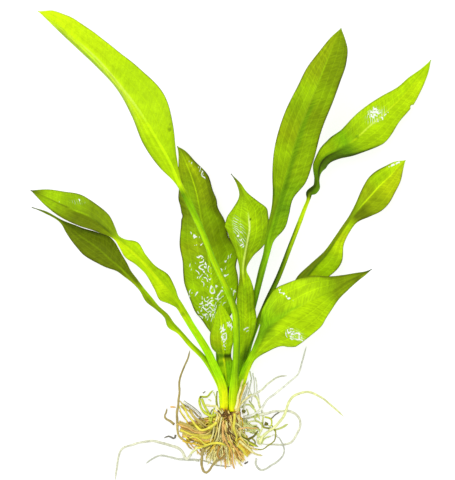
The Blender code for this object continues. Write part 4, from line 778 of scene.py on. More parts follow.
# The long single roots: the colour, the radius at the foot, then the x, y, z of points along each
ROOTS = {
    "root_right_long": ("pale", 0.8, [
        (21.3, -11, 4.6), (24.8, -8.8, 5), (27, -6, 5.3), (29.2, -3.3, 5.2), (30.6, -0.3, 5),
        (31.4, 2.8, 4.7), (32.7, 5.5, 4.2), (35, 8, 3.4), (38.5, 9.4, 2.6), (43, 10, 2), (50, 7, 1.2),
        (57, 1.5, 0.9), (62.5, -3.5, 0.9),
    ]),
    "root_right_upper": ("bone", 0.7, [
        (7.3, -1.6, 9.5), (7.6, 2.4, 9), (8.9, 6.4, 8.4), (11, 8, 7.6), (14.3, 9.4, 6), (17.9, 12, 4.6),
        (21.3, 15, 3), (24.8, 17.6, 1.8), (28, 18.7, 1.1), (31.6, 18.9, 0.8),
    ]),
    "root_right_pale": ("mist", 0.7, [
        (7.3, -3.2, 7.5), (12, -2.2, 7.2), (14.5, -0.8, 6.9), (17.6, 1.7, 6.3), (20.6, 6.2, 5.8),
        (24.8, 9.4, 5.2), (29.7, 13.2, 4.4), (33.3, 16.5, 3.8), (37.1, 19.6, 3.1), (39.6, 26.6, 1.6),
        (42, 35, 0.8),
    ]),
    "root_right_loop": ("bone", 0.8, [
        (7.2, -4.7, 5), (13, -3, 4.6), (19.2, -1.7, 4), (23.4, -0.6, 3.4), (28, -0.3, 2.6),
        (32.7, -0.6, 1.6), (36.1, -2, 1.1), (38.2, -4.8, 0.9), (38.5, -8.2, 0.9), (37.4, -11.6, 0.9),
        (35.8, -15, 0.9), (33, -17.9, 0.9), (29.7, -18.9, 0.9), (25.3, -18.9, 0.9), (21.3, -18.9, 0.9),
        (17.8, -18.6, 0.9),
    ]),
    "root_lower_right_loop": ("ash", 0.6, [
        (14.5, -26.6, 1.3), (14.1, -29, 0.9), (15.1, -31.6, 0.7), (17, -33, 0.7), (19.6, -32.3, 0.7),
        (23.1, -30.2, 0.7), (26.4, -27.8, 1), (29.2, -24.4, 1.9), (29.9, -21.7, 2.6), (29.2, -19, 3.2),
        (28, -16.8, 3.2), (26.6, -14.8, 3), (24.4, -14.2, 2.6),
    ]),
    "root_left_long": ("bone", 0.8, [
        (-21.4, -24, 2.8), (-22.4, -25.6, 2.8), (-23.7, -26.8, 2.8), (-24.6, -26.2, 2.7),
        (-25.7, -23.6, 2.2), (-27.5, -21.4, 1.7), (-29.7, -20.2, 1.3), (-32.7, -19.5, 0.9),
        (-35.8, -18.6, 0.9), (-44, -17, 0.9), (-52, -18.5, 0.9), (-60, -22, 0.9), (-62, -30, 0.9),
        (-63, -38.5, 0.9),
    ]),
    "root_lower_left_long": ("ash", 0.7, [
        (-16.8, -27.8, 0.8), (-18.7, -27.5, 0.8), (-23.5, -27.2, 0.8), (-28.4, -26.9, 0.8),
        (-32.7, -25.9, 0.8), (-35.8, -25, 0.8), (-39, -25.2, 0.8), (-42, -26.3, 0.8), (-46.4, -29.5, 0.8),
    ]),
    "root_left_rising": ("drab", 0.7, [
        (-28.9, -7.4, 4.2), (-29, -4, 6), (-28.9, -1, 6.6), (-28.4, 3, 6.4), (-28, 8, 5.6),
        (-27.8, 12, 5), (-27.6, 16.5, 3.8), (-26, 22, 2.4), (-23.5, 27.5, 1.4), (-22, 33, 0.8),
    ]),
    "root_left_strand": ("lemon", 0.75, [
        (-7.2, -5.6, 14), (-11, -8.6, 12.8), (-14, -9.8, 11.4), (-16.2, -9.8, 10.4), (-18.7, -7.9, 9.6),
        (-20.5, -5.2, 9), (-22.9, -2.4, 8.4), (-24.5, 1.1, 7.8), (-26.2, 4.2, 7.2),
    ]),
    "root_left_hook": ("drab", 0.7, [
        (-30.7, -7.6, 3.4), (-32.7, -6, 2.2), (-35, -4.8, 1.4), (-35.9, -3.6, 1), (-35.2, -1.4, 0.8),
        (-34.6, 1.1, 0.8),
    ]),
    "root_left_low": ("slate", 0.6, [
        (-29.9, -13.6, 1.8), (-30.6, -15.6, 1.3), (-31.8, -15.4, 1), (-33.3, -14.4, 0.8),
        (-35.1, -14.7, 0.7), (-36.4, -15.4, 0.7),
    ]),
    "root_left_hump": ("green", 0.8, [
        (-7.4, -1.6, 10.4), (-10.6, -2.6, 9.8), (-12.4, -2, 8.8), (-14.6, 0, 7.2), (-16.2, 2.8, 5.6),
        (-16.8, 5.5, 4.2), (-16.1, 7.6, 3), (-14.3, 7.4, 2.2), (-12.4, 7.6, 1.6), (-10.8, 9.4, 1.2),
        (-9.1, 11, 1),
    ]),
    "root_bottom_loop": ("drab", 0.8, [
        (-14.4, -20.4, 7), (-15.3, -24.4, 5.2), (-15.6, -27.5, 3.8), (-15.3, -31.2, 2.8),
        (-14.4, -33.9, 2.4), (-13.2, -34.4, 2.6), (-11.3, -32.7, 3.6), (-9.8, -30.2, 4.6),
        (-7.7, -28, 5.8), (-5.8, -26.9, 6.4), (-3.4, -25.7, 7.2), (-2.4, -23.4, 8.2),
    ]),
}
TAN_ROOTS = ("root_left_rising", "root_left_hook", "root_left_low", "root_bottom_loop")

# The crown's size, and its radius, of half its width, at shares of its length
CROWN_WIDTH, CROWN_LENGTH, CROWN_HEIGHT = 11.6, 10.4, 14.6
CROWN_SHARES = (0.0, 0.12, 0.35, 0.62, 0.85, 1.0)
CROWN_RADII = (0.94, 1.0, 1.0, 0.9, 0.68, 0.3)
CROWN_OVERLAP = 0.6  # how far it reaches over the feet of the stalks
CROWN_LUMPS = ((5, 0.05, (9, 5)), (6, 0.03, (3, 2)))  # seed, height of its radius, wavelengths
CROWN_GRAIN = ((7, 1.0, (5, 5, 5)), (8, 0.5, (2, 6, 2)))  # of its colour: seed, strength, lengths
CROWN_RINGS, CROWN_SIDES = 60, 96


def smooth_rows(rows, count):
    """The rows, read at count places from first to last along one smooth curve through them."""
    table = np.array(rows, float)
    steps = np.linalg.norm(np.diff(table[:, :3], axis=0), axis=1)
    along = np.concatenate([[0.0], np.cumsum(steps)])
    slopes = np.gradient(table, along, axis=0)
    at = np.linspace(0.0, along[-1], count)
    cell = np.clip(np.searchsorted(along, at, side="right") - 1, 0, len(steps) - 1)
    span = steps[cell][:, None]
    t = ((at - along[cell]) / steps[cell])[:, None]
    return (
        (2 * t**3 - 3 * t**2 + 1) * table[cell]
        + (t**3 - 2 * t**2 + t) * span * slopes[cell]
        + (3 * t**2 - 2 * t**3) * table[cell + 1]
        + (t**3 - t**2) * span * slopes[cell + 1]
    )


def length_of(rows):
    points = np.array([row[:3] for row in rows], float)
    return float(np.linalg.norm(np.diff(points, axis=0), axis=1).sum())


def frames(centres):
    """The sideways (right of the way it grows) and upward directions at each point."""
    forward = np.gradient(centres, axis=0)
    forward /= np.linalg.norm(forward, axis=1)[:, None]
    side = np.stack([forward[:, 1], -forward[:, 0], np.zeros(len(forward))], axis=1)
    side /= np.maximum(np.linalg.norm(side, axis=1), 1e-6)[:, None]
    return side, np.cross(side, forward)


def smoothstep(low, high, value):
    t = np.clip((value - low) / (high - low), 0, 1)
    return t * t * (3 - 2 * t)


def waves(seed, *coordinates, wavelengths, parts=6):
    """Smooth irregular waves between about -1 and 1 over the given coordinates."""
    rng = np.random.default_rng(seed)
    total = np.zeros(np.broadcast(*coordinates).shape)
    for _ in range(parts):
        angle = rng.uniform(0, 2 * math.pi)
        for coordinate, wavelength in zip(coordinates, wavelengths):
            angle = angle + coordinate * 2 * math.pi / wavelength * rng.uniform(-1.3, 1.3)
        total = total + np.sin(angle)
    return total / math.sqrt(parts)


def blend(first, second, amount):
    """Colours that go from the first to the second as the amount goes from 0 to 1."""
    return first * (1 - amount[..., None]) + second * amount[..., None]


Skin = namedtuple("Skin", "points tints quads caps uvs")


def closed_skin(points, tints, across, lengthways, cap_at, clockwise=False):
    """A closed skin over rows of points that each go once around, with its flat layout.

    Seen from the first row, they go around counterclockwise or clockwise. Across and
    lengthways are where columns and rows lie in the layout, and the two caps shrink to the
    place cap_at.
    """
    rows, around = points.shape[:2]
    start = np.arange(rows - 1)[:, None] * around
    here = np.arange(around)[None, :]
    after = (here + 1) % around
    u, v = np.meshgrid(across, lengthways)
    corners = [  # each corner's point, and its place in the layout
        (start + here, u[:-1, :-1], v[:-1, :-1]),
        (start + around + here, u[1:, :-1], v[1:, :-1]),
        (start + around + after, u[1:, 1:], v[1:, 1:]),
        (start + after, u[:-1, 1:], v[:-1, 1:]),
    ]
    foot = np.arange(around)
    caps = [foot, foot[::-1] + (rows - 1) * around]
    if clockwise:
        corners = [corners[0]] + corners[:0:-1]
        caps = [cap[::-1] for cap in caps]
    quads = np.stack([corner[0] for corner in corners], axis=-1).reshape(-1, 4)
    uvs = np.stack([place for corner in corners for place in corner[1:]], axis=-1).reshape(-1, 2)
    uvs = (uvs, np.full((2 * around, 2), cap_at))
    return Skin(points.reshape(-1, 3), tints.reshape(-1, 3), quads, caps, uvs)


def mesh_piece(name, skins, material, floats=None, vectors=None):
    """A mesh object of closed skins in millimetres, with its painted colours and flat layout."""
    mesh = bpy.data.meshes.new(name)
    points = np.concatenate([skin.points for skin in skins])
    starts = np.cumsum([0] + [len(skin.points) for skin in skins])
    quads = [(skin.quads + start).tolist() for skin, start in zip(skins, starts)]
    caps = [(cap + start).tolist() for skin, start in zip(skins, starts) for cap in skin.caps]
    mesh.from_pydata(((points - ORIGIN) * MM).tolist(), [], sum(quads, []) + caps)
    mesh.shade_smooth()
    tints = np.concatenate([skin.tints for skin in skins])
    paint = mesh.color_attributes.new("tint", "FLOAT_COLOR", "POINT")
    paint.data.foreach_set("color", np.c_[tints, np.ones(len(tints))].astype(np.float32).ravel())
    for key, values in (floats or {}).items():
        layer = mesh.attributes.new(key, "FLOAT", "POINT")
        layer.data.foreach_set("value", values.astype(np.float32).ravel())
    for key, values in (vectors or {}).items():
        layer = mesh.attributes.new(key, "FLOAT_VECTOR", "POINT")
        layer.data.foreach_set("vector", values.astype(np.float32).ravel())
    layout = mesh.uv_layers.new(name="OFBake")
    uvs = [skin.uvs[0] for skin in skins] + [skin.uvs[1] for skin in skins]
    layout.data.foreach_set("uv", np.concatenate(uvs).astype(np.float32).ravel())
    mesh.materials.append(material)
    piece = bpy.data.objects.new(name, mesh)
    bpy.context.scene.collection.objects.link(piece)
    return piece


class Shader:
    """A material's node tree, built up by short calls. Inputs are sockets or plain values."""

    def __init__(self, name, roughness, specular):
        self.material = bpy.data.materials.new(name)
        self.material.use_nodes = True
        self.nodes = self.material.node_tree.nodes
        self.links = self.material.node_tree.links
        self.principled = self.nodes["Principled BSDF"]
        self.principled.inputs["Roughness"].default_value = roughness
        self.principled.inputs["Specular IOR Level"].default_value = specular
        self.principled.inputs["Metallic"].default_value = 0

    def add(self, kind, inputs=(), **settings):
        node = self.nodes.new(kind)
        for key, value in settings.items():
            setattr(node, key, value)
        for key, value in dict(inputs).items():
            self.feed(node.inputs[key], value)
        return node

    def feed(self, socket, value):
        if isinstance(value, bpy.types.NodeSocket):
            self.links.new(value, socket)
        else:
            socket.default_value = value

    def attribute(self, name, output="Fac"):
        return self.add("ShaderNodeAttribute", attribute_name=name).outputs[output]

    def math(self, operation, *values):
        return self.add("ShaderNodeMath", dict(enumerate(values)), operation=operation).outputs[0]

    def times(self, first, second):
        return self.math("MULTIPLY", first, second)

    def plus(self, first, second):
        return self.math("ADD", first, second)

    def minus(self, first, second):
        return self.math("SUBTRACT", first, second)

    def fade(self, value, start, end, low=0.0, high=1.0):
        """Goes smoothly from low to high as value goes from start to end."""
        inputs = {0: value, 1: start, 2: end, 3: low, 4: high}
        node = self.add("ShaderNodeMapRange", inputs, interpolation_type="SMOOTHSTEP")
        return node.outputs[0]

    def place(self, x, y, z=0.0):
        return self.add("ShaderNodeCombineXYZ", {0: x, 1: y, 2: z}).outputs[0]

    def noise(self, scale, detail=2.0, vector=None, roughness=0.5, distortion=0.0):
        """Cloudy values about 0.5. Without a vector, the scale counts for each metre."""
        inputs = {"Scale": scale, "Detail": detail, "Roughness": roughness, "Distortion": distortion}
        inputs["Vector"] = vector or self.add("ShaderNodeTexCoord").outputs["Object"]
        return self.add("ShaderNodeTexNoise", inputs).outputs[0]

    def mix(self, factor, first, second, kind="MIX"):
        node = self.add("ShaderNodeMix", data_type="RGBA", blend_type=kind)
        self.feed(node.inputs[0], factor)
        self.feed(node.inputs[6], first)
        self.feed(node.inputs[7], second)
        return node.outputs[2]

    def scaled(self, colour, factor):
        """The colour made lighter or darker by a factor that varies over the surface."""
        node = self.add("ShaderNodeVectorMath", {0: colour}, operation="SCALE")
        self.feed(node.inputs["Scale"], factor)
        return node.outputs[0]

    def finish(self, colour, height, bump, depth, roughness=None):
        """Sets the colour and a relief from the height, with its depth in millimetres."""
        self.feed(self.principled.inputs["Base Color"], colour)
        if roughness is not None:
            self.feed(self.principled.inputs["Roughness"], roughness)
        relief = self.add("ShaderNodeBump", {"Strength": bump, "Distance": depth * MM, "Height": height})
        self.feed(self.principled.inputs["Normal"], relief.outputs[0])
        return self.material


def vein_lines(look, out, along, half):
    """Where a blade's long and cross veins run, and the coordinate that counts the cross veins."""
    share = look.math("DIVIDE", out, half)
    wander = look.times(look.minus(look.noise(WANDER_CLOUDS), 0.5), CROSS_VEIN_WANDER)
    crossing = look.minus(look.plus(along, wander), look.times(out, CROSS_VEIN_LEAN))
    lines = 0.0
    for place in LONG_VEINS:
        near = look.times(look.minus(share, place), half)
        near = look.math("ABSOLUTE", look.plus(near, look.times(wander, LONG_VEIN_WANDER)))
        lines = look.math("MAXIMUM", lines, look.fade(near, *LONG_VEIN_EDGES))
        past = look.math("GREATER_THAN", share, place)
        crossing = look.plus(crossing, look.times(past, CROSS_VEIN_SHIFT))
    ladder = look.fade(look.math("PINGPONG", crossing, CROSS_VEIN_STEP / 2), *CROSS_VEIN_EDGES)
    patchy = look.fade(look.noise(VEIN_CLOUDS), 0.4, 0.6, 0.2, 1.0)
    ladder = look.times(look.times(ladder, patchy), CROSS_VEIN_STRENGTH)
    return look.math("MAXIMUM", lines, ladder), crossing


def painted_glint_white(look, across, along, crossing):
    """The painted highlights of a wet leaf, in white: wriggly strokes, whole patches and shining fine
    veins.
    """
    glint = look.attribute("glint")
    spot = look.place(across, look.times(along, 0.8))
    swirl = look.noise(STROKE_SWIRL, detail=0.0, vector=spot, distortion=0.3)
    stroke = look.fade(look.math("PINGPONG", look.times(swirl, STROKES), 0.5), *STROKE_EDGES)
    broken = look.noise(STROKE_BREAKS, detail=1.0, vector=spot)
    broken = look.fade(look.math("MULTIPLY_ADD", glint, 0.3, broken), *BREAK_EDGES)
    stroke = look.times(look.times(stroke, broken), look.fade(glint, 0.05, 0.15))
    patch = look.noise(PATCH_BREAKS, detail=1.0, vector=spot)
    patch = look.fade(look.math("MULTIPLY_ADD", glint, 0.5, patch), *PATCH_EDGES)
    vein = look.fade(look.math("PINGPONG", crossing, SHEEN_STEP), *SHEEN_EDGES)
    vein = look.times(vein, look.fade(look.noise(SHEEN_CLOUDS), 0.42, 0.56, 0.15, 1.0))
    vein = look.times(vein, look.attribute("sheen"))
    return look.math("MAXIMUM", look.math("MAXIMUM", stroke, patch), vein)


def leaf_material(name, finish):
    """A leaf's surface: its painted greens, with painted light and shade in them, veins, mottling, a dark
    margin and painted glints where it is wet.
    """
    look = Shader(name, roughness=LEAF_ROUGHNESS, specular=0.05)
    form = look.add("ShaderNodeSeparateXYZ", {0: look.attribute("form", "Vector")})
    across, along, half = form.outputs
    out = look.math("ABSOLUTE", across)
    right = look.math("GREATER_THAN", across, 0.0)
    blade = look.fade(half, *BLADE_LOOK)
    stalk = look.minus(1.0, blade)
    lines, crossing = vein_lines(look, out, along, half)
    lines = look.times(lines, blade)
    beside_veins = look.place(crossing, look.times(out, 0.16), look.times(right, 9.0))
    streaks = look.noise(0.9, vector=beside_veins, roughness=0.6)
    fibre = look.noise(1.6, detail=3.0, vector=look.place(across, look.times(along, 0.06)))
    mottle = look.noise(MOTTLE_CLOUDS, detail=4.0, roughness=0.6)

    shade = look.fade(mottle, 0.25, 0.75, *MOTTLE_SHADES)
    shade = look.times(shade, look.fade(look.noise(GRAIN_CLOUDS), 0.2, 0.8, *GRAIN_SHADES))
    striped = look.fade(fibre, 0.3, 0.7, -FIBRE_SHADE, FIBRE_SHADE)
    shade = look.plus(shade, look.times(striped, stalk))
    shade = look.plus(shade, look.times(lines, VEIN_LIGHT * finish.veins))
    streaked = look.fade(streaks, 0.32, 0.68, -finish.veins, finish.veins)
    shade = look.plus(shade, look.times(streaked, blade))
    colour = look.scaled(look.attribute("tint", "Color"), shade)

    # A thin brownish rim along the margin
    rim_wide = look.fade(look.noise(RIM_CLOUDS), 0.35, 0.65, *RIM_WIDTHS)
    inward = look.math("DIVIDE", look.minus(half, out), rim_wide)
    rim = look.times(look.fade(inward, 0.15, 1.0, finish.rim, 0.0), blade)
    colour = look.mix(rim, colour, look.mix(1.0, colour, RIM_TINT, kind="MULTIPLY"))

    # Painted highlights: white where the leaf is wet, and less rough there
    painted_glints = painted_glint_white(look, across, along, crossing)
    colour = look.mix(painted_glints, colour, GLINT_WHITE)
    height = look.minus(look.times(look.plus(mottle, streaks), 0.6), look.times(lines, 0.5))
    gloss = look.fade(painted_glints, 0.0, 1.0, LEAF_ROUGHNESS, WET_ROUGHNESS)
    return look.finish(colour, height, bump=0.6, depth=0.35, roughness=gloss)


def root_material(name, roughness=0.5):
    """A root's surface: its painted colour, mottled."""
    look = Shader(name, roughness=roughness, specular=0.25)
    mottle = look.noise(ROOT_MOTTLE_CLOUDS, detail=4.0, roughness=0.6)
    shade = look.fade(mottle, 0.25, 0.75, *ROOT_MOTTLE_SHADES)
    patches = look.fade(look.noise(ROOT_PATCH_CLOUDS), 0.3, 0.7, *ROOT_PATCH_SHADES)
    shade = look.times(shade, patches)
    colour = look.scaled(look.attribute("tint", "Color"), shade)
    return look.finish(colour, mottle, bump=0.6, depth=0.25)


def leaf_row(x, y, z, left, right=None, tilt_left=0, tilt_right=0):
    """A row of a leaf's table in full."""
    return x, y, z, left, left if right is None else right, tilt_left, tilt_right


Spine = namedtuple("Spine", "stations side up share along rib stalk")


def leaf_spine(name):
    """A leaf's rows read closely, with its frames, its midrib's radius and how much it is a stalk."""
    rows = [leaf_row(*row) for row in LEAVES[name]]
    length = length_of(rows)
    count = round(length / ROW_STEP)
    stations = smooth_rows(rows, count)
    side, up = frames(stations[:, :3])
    side[0], up[0] = (1, 0, 0), (0, 0, 1)  # the foot is cut square to y
    share = np.linspace(0, 1, count)[:, None]
    mean = np.maximum(stations[:, 3:5], LEAST_HALF_WIDTH).mean(axis=1)[:, None]
    foot_radius = rows[0][3]
    rib = np.minimum(foot_radius + (MIDRIB_TIP_RADIUS - foot_radius) * share, mean)
    stalk = smoothstep(*STALK_SHARES, rib / mean)
    return Spine(stations, side, up, share, share * length, rib, stalk)


def columns_of(half, rib, stalk):
    """How far out each column is, from the midrib (0) to the margin, for one half of a leaf."""
    way = np.linspace(0, 1, COLUMNS + 1)[None, :]
    round_out = half * np.sin(way * math.pi / 2)
    edge = np.minimum(rib * RIB_EDGE, half)
    inner = edge * way / RIB_COLUMNS
    beyond = (way - RIB_COLUMNS) / (1 - RIB_COLUMNS)
    outer = edge + (half - edge) * beyond * (1.25 - 0.25 * beyond)
    flat_out = np.where(way < RIB_COLUMNS, inner, outer)
    return stalk * round_out + (1 - stalk) * flat_out


def bitten(name, side, along, half):
    """The half width of a leaf with the bites taken out of that margin."""
    for where, at, wide, deep in BITES.get(name, ()):
        if where == side:
            inside = np.clip(1 - np.abs(along - at) / (wide / 2), 0, 1)
            half = half - deep * inside**0.6
    return half


def heights(spine, out, way):
    """How far the upper and the lower face of a leaf lie from its middle."""
    blade = BLADE_THICKNESS / 2 * np.sqrt(np.clip(1 - way**6, 0, 1))
    rib_height = spine.rib * STALK_FLATNESS
    swell = rib_height * np.clip(1 - (out / (MIDRIB_REACH * spine.rib)) ** 2, 0, 1) ** 2
    rounded = rib_height * np.sqrt(np.clip(1 - way**2, 0, 1))
    above = spine.stalk * rounded + (1 - spine.stalk) * (blade + RIB_ABOVE * swell)
    below = spine.stalk * rounded + (1 - spine.stalk) * (blade + RIB_BELOW * swell)
    return above, below


HalfLeaf = namedtuple("HalfLeaf", "across half upper lower")


def half_leaf(name, spine, seed, finish, right):
    """One half of a leaf, from its midrib to its margin: its two faces, quilted and ruffled."""
    sign, side, column = (1, "right", 4) if right else (-1, "left", 3)
    half = bitten(name, side, spine.along, spine.stations[:, column, None])
    half = np.maximum(half, LEAST_HALF_WIDTH)
    out = columns_of(half, spine.rib, spine.stalk)
    way = out / half
    drop = np.tan(np.radians(spine.stations[:, column + 2, None])) * half * way**DROOP_POWER
    ruffled = waves(seed + column, spine.along, out * RUFFLE_SPREAD, wavelengths=RUFFLE_WAVES)
    wander = waves(seed + column + 40, spine.along, out, wavelengths=QUILT_WAVES)
    bulges = (spine.along - out * QUILT_LEAN) * 2 * math.pi / QUILT_STEP + QUILT_WANDER * wander
    quilt = np.sin(bulges) * np.sin(math.pi * np.clip(way, 0, 1))
    soft = (1 - spine.stalk) * smoothstep(*SOFT_WIDTHS, half)
    lift = soft * (finish.ruffle * ruffled * way**2 + finish.quilt * quilt)
    middle = (
        spine.stations[:, None, :3]
        + spine.side[:, None] * (sign * out)[..., None]
        + spine.up[:, None] * lift[..., None]
        + np.array([0, 0, 1]) * drop[..., None]
    )
    above, below = heights(spine, out, way)
    upper = middle + spine.up[:, None] * above[..., None]
    lower = middle - spine.up[:, None] * below[..., None]
    return HalfLeaf(sign * out, np.broadcast_to(half, out.shape), upper, lower)


def wrapped(over, under):
    """Rows that go over a leaf from its left margin to its right one, and back below it."""
    return np.concatenate([over, under[:, -2:0:-1]], axis=1)


def leaf(name, seed, finish):
    """A leaf: a round stalk that flattens into a thin blade with a midrib."""
    spine = leaf_spine(name)
    halves = [half_leaf(name, spine, seed, finish, right=right) for right in (False, True)]
    across, half, upper, lower = (
        np.concatenate([left[:, ::-1], right[:, 1:]], axis=1) for left, right in zip(*halves)
    )
    points = wrapped(upper, lower)
    for margin in (0, 2 * COLUMNS):
        points[:, margin] = (upper[:, margin] + lower[:, margin]) / 2
    across, half = wrapped(across, across), wrapped(half, half)
    along = np.broadcast_to(spine.along, across.shape)
    around = across.shape[1]
    under = np.broadcast_to(np.arange(around) > 2 * COLUMNS, across.shape).astype(float)
    tints = leaf_tints(name, seed, points, spine, across, half, under)
    columns_at = LAYOUT_EDGE + (1 - 2 * LAYOUT_EDGE) * np.arange(around + 1) / around
    rows_at = spine.share[:, 0] * (1 - 2 * LAYOUT_EDGE) + LAYOUT_EDGE
    skin = closed_skin(points, tints, columns_at, rows_at, LAYOUT_CAP, clockwise=True)
    # how much painted glint and painted sheen each point takes, on its upper face only
    painted_glints = {
        "glint": shine_mask(GLINTS.get(name, ()), points) * (1 - under),
        "sheen": shine_mask(SHEENS.get(name, ()), points) * (1 - under),
    }
    form = {"form": np.stack([across, along, half], axis=-1)}
    return mesh_piece(name + "_leaf", [skin], leaf_material(name + "_surface", finish), painted_glints, form)


def read_greens(stops, column, share):
    """The greens that the stops name in a column, read at each share of a leaf's length."""
    places = [stop[0] for stop in stops]
    greens = np.array([GREENS[stop[column]] for stop in stops])
    return np.stack([np.interp(share, places, greens[:, c]) for c in range(3)], axis=-1)


def leaf_tints(name, seed, points, spine, across, half, under):
    """The base colour of every point of a leaf, with its painted light and shade."""
    share, out = spine.share, np.abs(across)
    halves, rib = LEAF_PAINT[name]["halves"], LEAF_PAINT[name]["rib"]
    turn = smoothstep(-HALVES_MEET, HALVES_MEET, across / half)
    tints = blend(read_greens(halves, 1, share), read_greens(halves, -1, share), turn)
    strength = np.interp(share, [stop[0] for stop in rib], [stop[2] for stop in rib])
    on_rib = (1 - smoothstep(*RIB_PAINT, out / spine.rib)) * strength
    tints = blend(tints, read_greens(rib, 1, share), on_rib)

    # Painted shade in bands, partly the leaf's own darker margin
    uneven = 1 + BAND_UNEVEN * waves(seed + 13, share * 60, wavelengths=(9,), parts=4)
    for side, start, end, reach, green, amount in SHADE_BANDS.get(name, ()):
        within = smoothstep(start - BAND_OUTSIDE, start + BAND_INSIDE, share)
        within = within * (1 - smoothstep(end - BAND_INSIDE, end + BAND_OUTSIDE, share))
        away = out - 0.8 * spine.rib if side.endswith("of rib") else half - out
        shade_band = 1 - smoothstep(0.25, 1.0, away / (reach * uneven))
        shade_band = shade_band * smoothstep(-0.4, 0.0, away)
        shade_band = shade_band * (across < 0 if side.startswith("left") else across > 0)
        tints = blend(tints, GREENS[green], shade_band * within * amount)

    x, y = points[..., 0], points[..., 1]
    broad = waves(seed + 11, x, y, wavelengths=(14, 14), parts=8)
    fine = waves(seed + 12, x, y, wavelengths=(4, 4), parts=10)
    # painted shade of small folds across the blade
    fold_shade = waves(seed + 14, across / half * 10, share * 90, wavelengths=(5, 26), parts=8)
    tints = tints * (1 + 0.04 * broad + 0.025 * fine + 0.06 * fold_shade)[..., None]
    # blemishes, and painted shade in creases
    for mark_x, mark_y, radius, green, amount in BLEMISHES_AND_CREASE_SHADE.get(name, ()):
        away = np.hypot(x - mark_x, y - mark_y)
        spot = (1 - smoothstep(0.4 * radius, 1.3 * radius, away)) * amount
        tints = blend(tints, GREENS[green], spot)
    return np.clip(tints * (1 - UNDERSIDE_SHADE * under[..., None]), 0, 1)


def shine_mask(places, points):
    """How much painted highlight each point of a leaf takes, from its places that shine."""
    mask = np.zeros(points.shape[:-1])
    for x, y, reach, wide, angle, amount in places:
        dx, dy = points[..., 0] - x, points[..., 1] - y
        turn = math.radians(angle)
        forward = (dx * math.cos(turn) + dy * math.sin(turn)) / reach
        sideways = (dy * math.cos(turn) - dx * math.sin(turn)) / wide
        inside = 1 - smoothstep(0.5, 1.1, np.hypot(forward, sideways))
        mask = np.maximum(mask, inside * amount)
    return mask


Strand = namedtuple("Strand", "path radius tints flat")


def strand(points, foot, tip, colour, seed, sway, flat=1.0, fade=0.85):
    """One root as a path with radii and colours. Its colour fades to that factor at the tip."""
    length = length_of(points)
    path = smooth_rows(points, max(LEAST_RINGS, round(length / RING_STEP)))
    share = np.linspace(0, 1, len(path))
    sideways, upward, thicker = (
        waves(seed + number, share * length, wavelengths=(wavelength,), parts=4)
        for number, wavelength in enumerate(ROOT_WAVES)
    )
    side, up = frames(path)
    ends = sway * np.sin(math.pi * share) ** 0.5
    path = path + side * (sideways * ends)[:, None] + up * (0.5 * upward * ends)[:, None]
    radius = (foot + (tip - foot) * share**1.2) * (1 + ROOT_UNEVEN * thicker)
    radius = radius * np.sqrt(1 - BLUNT_TIP * smoothstep(BLUNT_FROM, 1.0, share))
    path[:, 2] = np.maximum(path[:, 2], radius * 0.9 + FLOOR_GAP)
    tints = ROOT_COLOURS[colour] * (1 + (fade - 1) * share[:, None])
    return Strand(path, radius, tints, flat)


def tubes(name, strands, sides, material):
    """One mesh of many closed tubes, each laid out in its own strip."""
    angles = 2 * math.pi * np.arange(sides) / sides
    # painted shade: each ring is lighter on top and darker on its flanks and underneath
    flank_shading = FLANK_SHADE + (1 - FLANK_SHADE) * (0.5 + 0.5 * np.sin(angles))
    skins = []
    for number, (path, radius, tints, flat) in enumerate(strands):
        side, up = frames(path)
        wide, high = radius * flat, radius / math.sqrt(flat)
        points = (
            path[:, None]
            + side[:, None] * (wide[:, None] * np.cos(angles))[..., None]
            + up[:, None] * (high[:, None] * np.sin(angles))[..., None]
        )
        points[..., 2] = np.maximum(points[..., 2], FLOOR_GAP)
        left, right = (number + 0.05) / len(strands), (number + 0.95) / len(strands)
        columns_at = left + (right - left) * np.arange(sides + 1) / sides
        rows_at = np.linspace(LAYOUT_EDGE, 1 - LAYOUT_EDGE, len(path))
        tints = tints[:, None] * flank_shading[:, None]
        skins.append(closed_skin(points, tints, columns_at, rows_at, cap_at=(left + right) / 2))
    return mesh_piece(name, skins, material)


def heading(angle):
    return np.array([math.cos(angle), math.sin(angle), 0])


def tuft_strands(name, seed):
    """Fine roots that leave the crown at many heights and spread inside the tuft's own shape."""
    direction, half_angle, reach = TUFTS[name]
    count, colours = TUFT_COLOURS[name]
    rng = np.random.default_rng(seed)
    made = []
    for number in range(count):
        level = (number + rng.uniform(0, 1)) / count
        angle = math.radians(direction + half_angle * rng.uniform(-1, 1))
        tip_out = reach * rng.uniform(*STRAND_REACH) * (LOW_REACH + REACH_GROWTH * level)
        end = TUFT_CENTRE + tip_out * heading(angle)
        leave = angle + math.radians(rng.uniform(-LEAVE_TURN, LEAVE_TURN))
        start = ROOT_SOURCE + rng.uniform(*LEAVE_OUT) * heading(leave)
        knots = []
        for share in STRAND_KNOTS:
            here = start + (end - start) * share
            top = TUFT_TOP + (TUFT_TIP_TOP - TUFT_TOP) * share**0.8
            here[2] = TUFT_LIFT + top * (TUFT_LOWEST + (1 - TUFT_LOWEST) * level)
            knots.append(here)
        # lower strands take the darker colours, partly as painted shade
        pick = level * len(colours) + rng.normal(0, COLOUR_STRAY)
        colour = colours[int(np.clip(pick, 0, len(colours) - 1))]
        foot, tip, fade = (rng.uniform(*between) for between in (STRAND_FOOT, STRAND_TIP, STRAND_FADE))
        strand_seed = seed * STRANDS_A_SEED + number
        made.append(strand(knots, foot, tip, colour, strand_seed, TUFT_SWAY, fade=fade))
    return made


